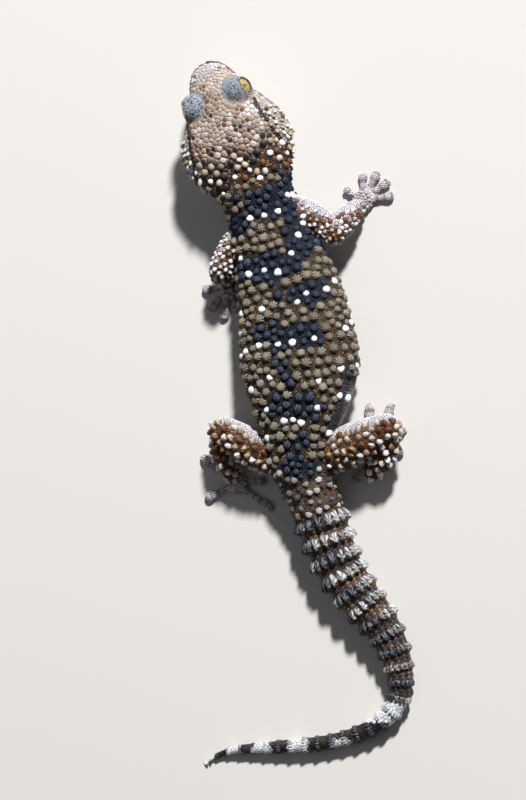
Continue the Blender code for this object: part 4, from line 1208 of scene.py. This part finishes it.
def grow(
    name, slot, kinds, where, sides, profile, tall, crown, rim, lean,
    cap=1.3, uneven=0.0, ribs=None, finish=None, long=1.0,
):
    """One piece of scales of these kinds, where tall is a share of each scale's size."""
    chosen = np.flatnonzero(np.isin(site_kind, [KINDS.index(k) for k in kinds]) & where)
    many = len(chosen)
    reach, turn = outlines(chosen, sides, cap)
    crown_colour, rim_colour = tones(crown, chosen), tones(rim, chosen)
    size = site_radius[chosen][:, None, None]
    flow, side, normal = (v[chosen][:, None] for v in (site_flow, site_side, site_normal))
    spoke = np.cos(turn)[None, :, None] * flow * long + np.sin(turn)[None, :, None] * side
    for lobes, share in ((2, 1.0), (3, 0.6)):
        depth = rng.normal(0, 1, (many, 1))
        lobe = np.cos(lobes * (turn + rng.uniform(0, ANY_PHASE, (many, 1))))
        reach = reach * (1 + share * uneven * depth * lobe)
    wave = np.zeros((many, sides))
    tint_ribs, fewest, most, rib_height = ribs or (None, 0, 0, 0)
    if ribs:
        count = rng.integers(fewest, most, many)[:, None]
        wave = np.cos(count * (turn[None] + rng.uniform(0, ANY_PHASE, many)[:, None]))
    tall = (tall * site_radius)[chosen][:, None, None]
    rings, tints, patches = [], [], []
    root = site_place[chosen][:, None]
    slope = flow * size * lean
    for share, lift, tone in profile:
        spread = share * (1 + RIB_SPREAD * wave * (share > RIBBED_FROM))[..., None] * ROOM
        ribbed = rib_height * wave[..., None] * math.sin(math.pi * share) ** 0.5 if share < 1 else 0
        place = root + spoke * reach[..., None] * spread + normal * tall * (lift + ribbed)
        rings.append(place + slope * (1 - share))
        tint = mix(rim_colour[:, None], crown_colour[:, None], np.full((many, sides), tone))
        if ribs:
            tint = tint_ribs(tint, wave, share, np.cos(turn)[None])
        tints.append(tint)
        patches.append(np.stack([np.cos(turn) * share, np.sin(turn) * share], -1)[None].repeat(many, 0))
    points = np.concatenate([*rings, root + normal * tall + slope], 1)
    points[..., 2] = np.maximum(points[..., 2], 0.0)
    mesh = closed_scales(name, points, len(profile), sides)
    paint(mesh, np.concatenate([*tints, crown_colour[:, None]], 1).reshape(-1, 3))
    unwrap(mesh, chosen, np.concatenate([*patches, np.zeros((many, 1, 2))], 1))
    mesh.materials.append(finish or horn)
    dress(added(name, mesh), slot)


horn = scaled("horn", 0.45, 0.18, 0.5, 0.03)
gloss = scaled("gloss", 0.4, 0.16, 0.45, 0.05, 0.4)
pearl = scaled("pearl", 0.35, 0.05, 0.2, 0.2, 0.45)
anywhere = np.ones(len(site_place), bool)
on_trunk = np.isin(site_form, IS_BODY) & (site_run < tail_start)
on_tail = np.isin(site_form, IS_BODY) & (site_run >= tail_start)

# Tubercles and white knobs of the back
# The keeled cones are olive grey with tan ribs, lightened as painted highlight. Their grooves, dark brown
# foot and rusty rear side are darkened as painted shade. In the navy patches they are dark blue, with painted
# blue glints on the ribs. The white knobs are smooth, like pearls.
ROOT_PY = 462
CONE_TONES = [(6, OLIVE), (4, (0.085, 0.07, 0.056)), (2, (0.18, 0.16, 0.125))]
RUMP_TONES = [(4, (0.38, 0.4, 0.43)), (4, (0.045, 0.055, 0.085)), (2, (0.2, 0.19, 0.185))]
NAVY_CONE_TONES = [(1, (0.005, 0.01, 0.024)), (1, (0.01, 0.016, 0.027))]
# The ribs' tan is their own colour lightened as painted highlight, and their blue is painted glints. The
# groove and rear colours are painted shade.
RIB_TAN_AND_HIGHLIGHT, RIB_RUST, RIB_BLUE_GLINT = (0.4, 0.355, 0.28), (0.36, 0.21, 0.085), (0.02, 0.042, 0.085)
CONE_GROOVE_SHADE, CONE_REAR_SHADE, BRIGHT_CONE = (0.012, 0.008, 0.006), (0.05, 0.02, 0.008), 0.045
KNOB_WHITE, KNOB_RIM = (0.85, 0.85, 0.86), (0.6, 0.62, 0.68)


def cone_colour(chosen):
    _, py = pixels(site_place[chosen])
    dark = darkness(site_place[chosen]) * rng.uniform(0.6, 1.2, len(chosen)) > 0.5
    pale = pick(chosen, CONE_TONES)
    pale = mix(pale, pick(chosen, RUMP_TONES), step(ROOT_PY - 8, ROOT_PY + 8, py))
    return np.where(dark[:, None], pick(chosen, NAVY_CONE_TONES), pale)


def cone_ribs(tint, wave, share, behind):
    """Ribs lightened as painted highlight, tan on olive cones and blue glints on navy ones; painted shade in
    grooves and behind.
    """
    bright = (tint.mean(2) > BRIGHT_CONE)[..., None]
    ridge = step(0.1, 0.8, wave) * step(0.05, 0.25, share)
    # Ribs: tan lightened as painted highlight on the olive cones, painted blue glints on the navy ones.
    rib = np.where(bright, mix(RIB_TAN_AND_HIGHLIGHT, RIB_RUST, step(0.0, 0.7, behind)), RIB_BLUE_GLINT)
    tint = mix(tint, rib, ridge * (0.5 + 0.3 * step(-0.3, 0.5, behind)))
    # Painted shade: the grooves between the ribs are darkened, most on the rear side.
    groove = step(0.15, -0.6, wave) * step(0.15, 0.6, share) * (0.45 + 0.5 * step(-0.6, 0.3, behind))
    tint = mix(tint, CONE_GROOVE_SHADE, groove)
    # Painted shade: the rear side is darkened, rusty brown on the olive cones and navy on the navy ones.
    rear = step(0.0, 0.8, behind) * step(0.15, 0.5, share) * (1 - ridge) * 0.8
    return mix(tint, np.where(bright, CONE_REAR_SHADE, NAVY), rear)


# The dark brown foot of each tubercle is painted shade where it meets the skin.
grow("tubercles_back", "back", ["keeled"], anywhere, 40, CONE_PROFILE, 0.74, cone_colour, [(1, DARK_BROWN)],
     0.4, 1.1, 0.04, (cone_ribs, 8, 12, 0.1))
grow("white_knobs", "back", ["white"], anywhere, 16, KNOB_PROFILE, 0.75, [(1, KNOB_WHITE)], [(1, KNOB_RIM)],
     0.15, 1.04, 0.07, finish=pearl)

# Scales of the tail
# The spines lean back from each ring, pale in the pale bands. Between them the tail is paved with small
# flat scales in rows, brown and black, and white and black towards the tip.
RIGHT_PALE_PY, REAR_PY = 660, 640
TAIL_PARTS = [("root", 0, 86), ("middle", 86, 106), ("tip", 106, 300)]
TAIL_PALE_TONES = [(3, TAIL_BROWN), (4, (0.045, 0.026, 0.016)), (3, (0.02, 0.013, 0.011))]
TAIL_DEEP_TONES = [(4, (0.011, 0.01, 0.012)), (1, (0.025, 0.03, 0.045)), (2, (0.03, 0.018, 0.012))]
PALE_LINE, DEEP_LINE = (0.27, 0.175, 0.13), (0.13, 0.09, 0.075)
TIP_SCALE_WHITE, TIP_SPINE_WHITE, TAIL_BELLY = (0.68, 0.7, 0.74), (0.74, 0.76, 0.8), (0.36, 0.31, 0.25)
SPINE_PALE_TONES = [(5, (0.46, 0.48, 0.52)), (3, (0.33, 0.32, 0.31)), (3, (0.15, 0.13, 0.11))]
SPINE_REAR_TONES = [(3, (0.1, 0.07, 0.05)), (1, (0.4, 0.4, 0.42))]
SPINE_DEEP_TONES = [(2, (0.012, 0.016, 0.032)), (1, (0.03, 0.038, 0.065))]
SPINE_HEART, SPINE_RIB = (0.03, 0.036, 0.055), (0.58, 0.58, 0.56)
# The groove colour is painted shade.
SPINE_GOLD, SPINE_GROOVE_SHADE = (0.45, 0.31, 0.13), (0.014, 0.01, 0.009)


def tail_colour(chosen):
    _, py = pixels(site_place[chosen])
    dark = tail_dark(site_place[chosen])
    line = step(0.2, 0.8, np.sin(site_run[chosen] * math.pi / TAIL_ROW))
    pale = pick(chosen, TAIL_PALE_TONES)
    pale = mix(pale, shade(chosen, PALE_LINE), line * 0.7)
    pale = mix(pale, shade(chosen, TIP_SCALE_WHITE), step(TIP_PY - 8, TIP_PY, py))
    deep = pick(chosen, TAIL_DEEP_TONES)
    deep = mix(deep, shade(chosen, DEEP_LINE), line * 0.5 * (py < TIP_PY))
    beneath = step(0.0, -0.7, np.sin(site_turn[chosen])) * (1 - 0.7 * dark)
    return mix(mix(pale, deep, dark), shade(chosen, TAIL_BELLY), beneath)


def spine_colour(chosen):
    _, py = pixels(site_place[chosen])
    right = step(0.1, 0.6, -np.cos(site_turn[chosen])) * step(RIGHT_PALE_PY, RIGHT_PALE_PY - 60, py)
    dark = tail_dark(site_place[chosen]) * (1 - 0.85 * right)
    pale = pick(chosen, SPINE_PALE_TONES)
    pale = mix(pale, pick(chosen, SPINE_REAR_TONES), 0.8 * step(REAR_PY - 4, REAR_PY + 4, py))
    pale = mix(pale, shade(chosen, TIP_SPINE_WHITE), step(TIP_PY - 8, TIP_PY, py))
    return mix(pale, pick(chosen, SPINE_DEEP_TONES), dark)


def spine_ribs(tint, wave, share, behind):
    """A dark heart before, pale ribs with the grooves between them darkened as painted shade, and a gold edge
    behind.
    """
    pale = step(0.05, 0.2, tint.mean(2))
    tint = mix(tint, SPINE_HEART, 0.65 * step(0.1, -0.7, behind) * step(0.75, 0.45, share))
    tint = mix(tint, SPINE_RIB, step(0.3, 0.95, wave) * step(0.1, 0.4, share) * (0.1 + 0.6 * pale))
    tint = mix(tint, SPINE_GOLD, (0.2 + 0.45 * pale) * step(0.45, 0.95, behind) * step(0.3, 0.65, share))
    # Painted shade in the grooves between the ribs.
    return mix(tint, SPINE_GROOVE_SHADE, step(0.0, -0.8, wave) * step(0.25, 0.7, share) * 0.75)


grow("spines_tail", "tail", ["spine"], anywhere, 28, CONE_PROFILE, 1.0, spine_colour, 1.0, 0.85, 1.25, 0.06,
     (spine_ribs, 4, 7, 0.08), gloss, 1.35)
for name, low, high in TAIL_PARTS:
    band = (site_run >= low) & (site_run < high)
    grow("scales_tail_" + name, "tail", ["annulus", "granule"], on_tail & band, 12, PLATE_PROFILE, 0.3,
         tail_colour, 0.5, 0.25, 3.9)

# Scales of the head
# The crown is paved with many-sided scales, sandy net between them, each grey, brown or dark. The knobs
# behind are cream and brown. Over the eyes the brows are blue-grey and fine, and the lips white.
HEAD_PATCHES_PX = [
    (252, 107, 7, 11, (0.55, 0.58, 0.63), 1.0),
    (261, 127, 5, 4, (0.62, 0.6, 0.58), 0.9),
    (213, 138, 15, 11, (0.44, 0.37, 0.35), 0.7),
    (225, 102, 18, 11, (0.15, 0.1, 0.07), 0.75),
    (206, 114, 9, 7, (0.09, 0.05, 0.032), 0.75),
    (218, 76, 10, 9, (0.34, 0.25, 0.18), 0.5),
    (240, 70, 8, 12, (0.62, 0.58, 0.58), 0.8),
]
HEAD_DARKS_PX = [
    (249, 132, 4), (242, 127, 3), (233, 152, 5), (231, 140, 4), (248, 157, 6), (257, 162, 5), (237, 128, 3),
    (267, 137, 5), (258, 148, 3), (275, 134, 4), (211, 152, 4), (214, 147, 3), (228, 168, 4), (227, 179, 4),
    (211, 115, 3), (268, 122, 3), (275, 165, 5), (284, 140, 3), (203, 160, 3), (243, 170, 4),
]  # fmt: skip
BROW_PATCHES_PX = [(231, 89, 12.5, 10), (193, 107, 10, 12.5)]
CROWN_TONES = [(4, HEAD_GREY), (4, (0.45, 0.42, 0.41)), (3, (0.3, 0.24, 0.19)), (3, (0.2, 0.165, 0.145))]
CROWN_DARK_TONES = [(3, HEAD_BROWN), (2, (0.15, 0.09, 0.06)), (1, (0.025, 0.02, 0.022))]
CROWN_LIGHT_TONES = [(2, (0.5, 0.45, 0.42)), (1, (0.36, 0.3, 0.27))]
TEMPLE_TONES = [(3, (0.36, 0.36, 0.34)), (2, (0.26, 0.22, 0.18))]
INK_TONES = [(2, (0.018, 0.02, 0.032)), (1, (0.05, 0.022, 0.015))]
NAPE_KNOB_TONES = [
    (4, (0.42, 0.36, 0.27)),
    (4, (0.5, 0.48, 0.46)),
    (3, (0.11, 0.045, 0.018)),
    (3, (0.015, 0.014, 0.02)),
]
BROW_TONES, BROW_FLECK = [(5, BROW_GREY), (3, (0.41, 0.45, 0.5))], (0.05, 0.06, 0.08)
BROW_EDGE_TONES = [(3, (0.4, 0.37, 0.34)), (1, (0.27, 0.2, 0.14))]
CHEEK_TONES = [(4, (0.6, 0.58, 0.55)), (2, (0.36, 0.28, 0.18)), (1, (0.1, 0.05, 0.03))]
LID_TONES = [(3, (0.3, 0.26, 0.15)), (2, (0.24, 0.26, 0.28))]
LIP_TONES = [(4, (0.68, 0.66, 0.68)), (1, (0.4, 0.36, 0.36))]
STRIPE_DARK, LIP_TOP_WHITE = (0.03, 0.015, 0.012), (0.62, 0.6, 0.62)
CHEEK_RIM, LIP_RIM = (0.14, 0.09, 0.06), (0.3, 0.25, 0.24)
# Painted shade in the pebbles' grooves and on their rear sides.
PEBBLE_GROOVE_SHADE, PEBBLE_REAR_SHADE = (0.05, 0.025, 0.015), (0.2, 0.085, 0.03)
LIP_RISE = 0.2


def head_at(chosen):
    return (site_place[chosen] - NAPE) @ HEAD_AXES


def head_darks(place):
    """How far each spot lies in one of the head's dark spots."""
    px, py = pixels(place)
    return np.max([step(1.15, 0.85, np.hypot(px - x, py - y) / r) for x, y, r in HEAD_DARKS_PX], 0)


def crown_colour(chosen):
    head, place = head_at(chosen), site_place[chosen]
    grey = pick(chosen, CROWN_TONES)
    dark = pick(chosen, CROWN_DARK_TONES)
    often = 0.18 + 0.2 * step(15, 8, head[:, 1]) - 0.12 * step(19, 22, head[:, 1])
    often = often + 0.3 * wander(place, 3.0, 12.5)
    colour = np.where((rng.random(len(chosen)) < often)[:, None], dark, grey)
    light = 0.6 * step(0.1, 0.6, wander(place, 2.6, 2.5))
    colour = mix(colour, pick(chosen, CROWN_LIGHT_TONES), light)
    colour = mix(colour, shade(chosen, SNOUT_WHITE), step(21.5, 24.5, head[:, 1]) * 0.7)
    px, py = pixels(place)
    for x, y, w, h, tone, share in HEAD_PATCHES_PX:
        here = step(1.25, 0.7, np.hypot((px - x) / w, (py - y) / h)) * share
        here = here * rng.uniform(0.5, 1, len(chosen))
        colour = mix(colour, shade(chosen, tone), here)
    colour = mix(colour, pick(chosen, INK_TONES), head_darks(place) * (head[:, 2] > 0))
    lip_top = step(1.7, 1.0, head[:, 2] - mouth_height(head[:, 1])) * (head[:, 1] > 16)
    colour = mix(colour, shade(chosen, LIP_TOP_WHITE), lip_top)
    colour = mix(colour, pick(chosen, TEMPLE_TONES), step(7.8, 9.2, np.abs(head[:, 0])))
    colour = mix(colour, shade(chosen, STRIPE_DARK), stripe(head))
    return mix(colour, shade(chosen, BELLY), step(-1.6, -2.8, head[:, 2]))


def pebble_colour(chosen):
    knob = pick(chosen, NAPE_KNOB_TONES)
    knob = mix(knob, pick(chosen, INK_TONES), head_darks(site_place[chosen]))
    return mix(knob, shade(chosen, STRIPE_DARK), stripe(head_at(chosen)) * 0.8)


def brow_colour(chosen):
    px, py = pixels(site_place[chosen])
    patches = [step(1.15, 0.85, np.hypot((px - x) / w, (py - y) / h)) for x, y, w, h in BROW_PATCHES_PX]
    often = 0.08 + 0.42 * step(18.5, 15.5, head_at(chosen)[:, 1])
    blue = pick(chosen, BROW_TONES)
    blue = np.where((rng.random(len(chosen)) < often)[:, None], shade(chosen, BROW_FLECK), blue)
    on_patch = np.max(patches, 0) * step(-0.15, 0.3, site_normal[chosen][:, 2])
    return mix(pick(chosen, BROW_EDGE_TONES), blue, on_patch)


def pebble_ribs(tint, wave, share, behind):
    """Faint ribs, drawn as painted shade in their grooves, and a rear side darkened brown as painted shade.
    """
    tint = mix(tint, PEBBLE_GROOVE_SHADE, step(0.2, -0.8, wave) * step(0.4, 0.9, share) * 0.5)
    return mix(tint, PEBBLE_REAR_SHADE, step(0.1, 0.9, behind) * step(0.2, 0.6, share) * 0.75)


site_head = head_at(np.arange(len(site_place)))
of_head = np.isin(site_form, IS_HEAD)
on_cheek = of_head & (np.abs(site_head[:, 0]) > CHEEK_ACROSS)
crown_rise = 0.42 + 0.35 * step(13, 6, site_head[:, 1])
grow("scales_crown", "head", ["crown"], anywhere, 12, PLATE_PROFILE, crown_rise, crown_colour, 1.0, 0.08, 1.6)
grow("knobs_nape", "head", ["pebble"], of_head & ~on_cheek, 16, KNOB_PROFILE, 0.78, pebble_colour, 0.5, 0.15,
     1.15, 0.05)
grow("cones_cheek", "head", ["pebble"], on_cheek, 12, CONE_PROFILE, 1.3, CHEEK_TONES, [(1, CHEEK_RIM)], 0.7,
     1.2, 0.06, (pebble_ribs, 3, 6, 0.06))
grow("scales_brow", "head", ["brow"], anywhere, 8, GRANULE_PROFILE, 0.6, brow_colour, 1.0, 0.1)
grow("lids", "head", ["lid"], anywhere, 10, KNOB_PROFILE, 1.0, LID_TONES, 1.0, 0.0)
grow("lips", "head", ["lip"], anywhere, 28, SHIELD_PROFILE, LIP_RISE / LIP_ROW, LIP_TONES, [(1, LIP_RIM)],
     0.0, 1.45)

# Granules of the trunk and head
# Tiny rounded beads fill the skin between the larger scales: dark with tan flecks on the brown of the back,
# navy in the dark patches with lighter blue ones among them as painted glints, pale beneath.
TRUNK_PARTS = [
    ("neck", 0, 12),
    ("shoulders", 12, 24),
    ("middle", 24, 36),
    ("loins", 36, 48),
    ("hips", 48, 200),
]
BROWN_TONES = [(7, (0.005, 0.005, 0.006)), (1.6, (0.2, 0.13, 0.065)), (2, (0.018, 0.013, 0.011))]
# Some navy granules are painted a lighter blue, as painted glints.
NAVY_TONES = [(6, NAVY), (2, NAVY_GLINT)]
NAPE_TONES = [(2, (0.3, 0.2, 0.12)), (4, (0.045, 0.02, 0.009)), (4, (0.012, 0.01, 0.01))]


def beside_tubercle(chosen):
    """1 for the granules that lie against a tubercle, falling to 0 a little way off it."""
    large = near[chosen][:, -LARGE_NEAR:]
    gap = np.linalg.norm(site_place[large] - site_place[chosen][:, None], axis=2) - site_radius[large]
    return step(0.7, 0.3, gap.min(1))


def trunk_rim(chosen):
    """Tan lines between the granules round each tubercle, and dim ones elsewhere."""
    base = ground_at(chosen)
    return mix(base * 0.2, base * 1.4, beside_tubercle(chosen))


def granule_colour(chosen):
    base, dark = ground_at(chosen), darkness(site_place[chosen])
    brown = pick(chosen, BROWN_TONES)
    back = mix(brown, pick(chosen, NAVY_TONES), dark)
    above = step(-0.08, 0.1, above_belly(site_turn[chosen], site_run[chosen]))
    flank = base * rng.uniform(0.8, 1.2, len(chosen))[:, None]
    colour = np.where(on_trunk[chosen][:, None], mix(flank, back, above), flank)
    head = of_head[chosen] & (head_at(chosen)[:, 2] > -2)
    return np.where(head[:, None], pick(chosen, NAPE_TONES), colour)


for name, low, high in TRUNK_PARTS:
    band = on_trunk & (site_run >= low) & (site_run < high)
    grow("granules_" + name, "back", ["granule"], band, 7, GRANULE_PROFILE, 0.75, granule_colour, trunk_rim,
         0.15)
grow("granules_head", "head", ["granule"], np.isin(site_form, IS_HEAD + IS_BROW), 8, GRANULE_PROFILE, 0.75,
     granule_colour, 1.0, 0.1)

# Scales of the limbs, hands and feet
# Maroon-brown skin set with cream and brown pebbles. Along the leading edges, which face the lamp, it is
# white: partly the limbs' own pale granules and partly painted light. The digits are pale lilac, ringed with
# dark.
LIMB_TONES = [
    (2, (0.3, 0.16, 0.06)),
    (5, (0.15, 0.058, 0.022)),
    (4, (0.07, 0.026, 0.012)),
    (3, (0.025, 0.011, 0.008)),
]
# The pale edge colour is partly the limbs' own and partly painted light on the side facing the lamp.
LIMB_EDGE_AND_LIT_TONES = [(5, (0.62, 0.6, 0.65)), (2, (0.42, 0.39, 0.42))]
LEG_PEBBLE_TONES = [
    (5, (0.56, 0.5, 0.42)),
    (4, (0.36, 0.27, 0.17)),
    (2, (0.12, 0.05, 0.02)),
    (3, (0.78, 0.77, 0.76)),
]
ARM_PEBBLE_TONES = [
    (5, (0.56, 0.54, 0.56)),
    (3, (0.36, 0.32, 0.3)),
    (3, (0.16, 0.08, 0.045)),
    (3, (0.78, 0.77, 0.78)),
]
DIGIT_TONES = [(3, LILAC), (3, (0.6, 0.56, 0.57))]
DIGIT_RING_TONES = [(2, (0.1, 0.06, 0.06)), (1, (0.25, 0.18, 0.17))]
DIGIT_BAND = 1.5
LAMELLA_PALE, LAMELLA_RIM, LAMELLA_RISE = (0.5, 0.44, 0.45), (0.3, 0.24, 0.24), 0.08


def limb_colour(chosen):
    base = pick(chosen, LIMB_TONES)
    edge = pick(chosen, LIMB_EDGE_AND_LIT_TONES)
    arm = np.isin(site_form[chosen], IS_ARM)
    # Partly painted light: the side facing the lamp is whitened, as well as the limbs' own pale leading edge.
    front_pale_and_lit = step(0.2, 0.5, site_normal[chosen][:, 1] + 0.15 * arm)
    low = step(0.1, -0.5, site_normal[chosen][:, 2])
    return mix(base, edge, np.maximum(front_pale_and_lit, low))


def limb_pebble_colour(chosen):
    arm = np.isin(site_form[chosen], IS_ARM)
    leg_tone = pick(chosen, LEG_PEBBLE_TONES)
    return np.where(arm[:, None], pick(chosen, ARM_PEBBLE_TONES), leg_tone)


def digit_colour(chosen):
    wave = np.sin(site_run[chosen] * 2 * math.pi / DIGIT_BAND + site_form[chosen])
    pale = pick(chosen, DIGIT_TONES)
    return mix(pale, pick(chosen, DIGIT_RING_TONES), step(0.25, 0.75, wave) * 0.8)


for name, parts in (("arms", IS_ARM), ("legs", IS_LEG)):
    limb = np.isin(site_form, parts)
    grow("granules_" + name, "limb", ["granule"], limb, 7, GRANULE_PROFILE, 0.7, limb_colour,
         lambda c: limb_colour(c) * 0.45, 0.15, 1.7)
    grow("pebbles_" + name, "limb", ["pebble"], limb, 20, CONE_PROFILE, 0.95, limb_pebble_colour, 1.0, 0.45,
         1.15, 0.1, (pebble_ribs, 4, 7, 0.1), gloss)
hands = np.isin(site_form, IS_DIGIT + IS_PALM)
grow("scales_hands", "pad", ["granule", "pebble"], hands, 8, GRANULE_PROFILE, 0.7, digit_colour, 1.0, 0.15)
grow("lamellae", "pad", ["lamella"], hands, 20, PLATE_PROFILE, LAMELLA_RISE / (LAMELLA_PITCH / 2),
     [(1, LAMELLA_PALE)], [(1, LAMELLA_RIM)], 0.3, 4.5)
grow("rings_digits", "pad", ["ring"], hands, 12, PLATE_PROFILE, 0.6, digit_colour, 1.0, 0.3, 2.4)

# Eyes
# Each eye is one glossy ball, as its lids are fused into a clear, fixed scale. The iris is gold with rusty
# veins, round an upright slit with scalloped edges.
EYE_COLUMNS, EYE_ROWS, CLEAR_RADIUS = 96, 64, 2.58
SLIT_TALL, SLIT_HALF, SCALLOPS = 0.52, 0.06, 26.0
IRIS_VEIN, IRIS_GOLD = (0.1, 0.04, 0.01, 1), (0.38, 0.27, 0.05, 1)
IRIS_RIM, PUPIL_BLACK = (0.02, 0.012, 0.006, 1), (0.002, 0.002, 0.002, 1)
iris = bpy.data.materials.new("iris")
iris.use_nodes = True
shader = iris.node_tree.nodes["Principled BSDF"]
shader.inputs["Roughness"].default_value = 0.12
shader.inputs["Coat Weight"].default_value = 1.0
shader.inputs["Coat Roughness"].default_value = 0.02
where = linked(iris, "ShaderNodeTexCoord").outputs["Object"]
split = linked(iris, "ShaderNodeSeparateXYZ", Vector=where)


def reckon(operation, a, b):
    """The result of a sum in the iris's own nodes."""
    node = iris.node_tree.nodes.new("ShaderNodeMath")
    node.operation = operation
    for socket, value in zip(node.inputs, (a, b)):
        if isinstance(value, bpy.types.NodeSocket):
            iris.node_tree.links.new(value, socket)
        else:
            socket.default_value = value
    return node.outputs[0]


eye_radius = CLEAR_RADIUS * MM
x, y = (reckon("DIVIDE", split.outputs[k], eye_radius) for k in ("X", "Y"))
off_axis = reckon("POWER", reckon("ADD", reckon("POWER", x, 2.0), reckon("POWER", y, 2.0)), 0.5)
lens_shape = reckon("SUBTRACT", 1.0, reckon("POWER", reckon("DIVIDE", y, SLIT_TALL), 2.0))
scallop = reckon("ADD", reckon("MULTIPLY", reckon("COSINE", reckon("MULTIPLY", y, SCALLOPS), 0.0), 0.3), 0.7)
slit = reckon("MULTIPLY", reckon("MULTIPLY", lens_shape, scallop), SLIT_HALF)
pupil = reckon("LESS_THAN", reckon("ABSOLUTE", x, 0.0), slit)
rim = linked(iris, "ShaderNodeMapRange", Value=off_axis, From_Min=0.56, From_Max=0.68)
vein = linked(iris, "ShaderNodeTexNoise", Vector=where, Scale=2600.0, Detail=6.0, Distortion=1.2)
gold = linked(iris, "ShaderNodeValToRGB", Fac=vein.outputs["Fac"])
gold.color_ramp.elements[0].position = 0.38
gold.color_ramp.elements[0].color = IRIS_VEIN
gold.color_ramp.elements[1].position = 0.56
gold.color_ramp.elements[1].color = IRIS_GOLD


def blend(share, low, high):
    node = iris.node_tree.nodes.new("ShaderNodeMix")
    node.data_type = "RGBA"
    iris.node_tree.links.new(share, node.inputs["Factor"])
    iris.node_tree.links.new(low, node.inputs[6])
    node.inputs[7].default_value = high
    return node.outputs[2]


edged = blend(rim.outputs["Result"], gold.outputs["Color"], IRIS_RIM)
iris.node_tree.links.new(blend(pupil, edged, PUPIL_BLACK), shader.inputs["Base Color"])
for side in SIDES:
    rings = ball(np.zeros(3), CLEAR_RADIUS * MM, EYE_COLUMNS, EYE_ROWS)
    points, faces = tube(rings)
    mesh = bpy.data.meshes.new("eye_ball_" + side)
    mesh.from_pydata([tuple(p) for p in points], [], faces)
    mesh.polygons.foreach_set("use_smooth", np.ones(len(mesh.polygons), bool))
    mesh.materials.append(iris)
    eye = added("eye_ball_" + side, mesh)
    eye.location = (eye_places[side] - MIDDLE) * MM
    eye.rotation_euler = Vector(gazes[side]).to_track_quat("Z", "Y").to_euler()
    dress(eye, "eye", "eye_" + side)

# Floor, light and camera
# A pale floor, one bright lamp beyond the snout on the right, a weak wide one on the left, and the camera
# above the back, leaning a little to the right as the photograph was taken.
CAMERA_AIM = np.array([-7.45, 2.8, 5.0])
CAMERA_DISTANCE, CAMERA_LENS = 1777.8, 400
floor_mesh = bpy.data.meshes.new("floor")
floor_mesh.from_pydata([(-3, -3, 0), (3, -3, 0), (3, 3, 0), (-3, 3, 0)], [], [(0, 1, 2, 3)])
floor = added("floor", floor_mesh)
paper = bpy.data.materials.new("paper")
paper.use_nodes = True
paper.node_tree.nodes["Principled BSDF"].inputs["Base Color"].default_value = (0.62, 0.6, 0.57, 1)
paper.node_tree.nodes["Principled BSDF"].inputs["Roughness"].default_value = 0.9
floor_mesh.materials.append(paper)


def lamp(name, place, watts, size):
    """A square lamp at a place in metres, aimed at the animal."""
    light = bpy.data.lights.new(name, "AREA")
    light.energy, light.size = watts, size
    holder = added(name, light)
    holder.location = place
    holder.rotation_euler = (Vector((0, 0, 0.005)) - Vector(place)).to_track_quat("-Z", "Y").to_euler()


lamp("key", (0.4, 1.3, 1.05), 59, 0.15)
lamp("fill", (-0.5, 0.1, 0.6), 0.35, 0.6)
world = bpy.data.worlds.new("sky")
bpy.context.scene.world = world
world.use_nodes = True
world.node_tree.nodes["Background"].inputs["Color"].default_value = (0.85, 0.9, 1.0, 1)
world.node_tree.nodes["Background"].inputs["Strength"].default_value = 0.1
camera = added("camera", bpy.data.cameras.new("camera"))
camera.data.lens = CAMERA_LENS
camera.data.clip_end = 20
camera.location = (CAMERA_AIM + SIGHT * CAMERA_DISTANCE) * MM
camera.rotation_euler = (0, CAMERA_LEAN, 0)
bpy.context.scene.camera = camera
bpy.context.scene.view_settings.view_transform = "Standard"
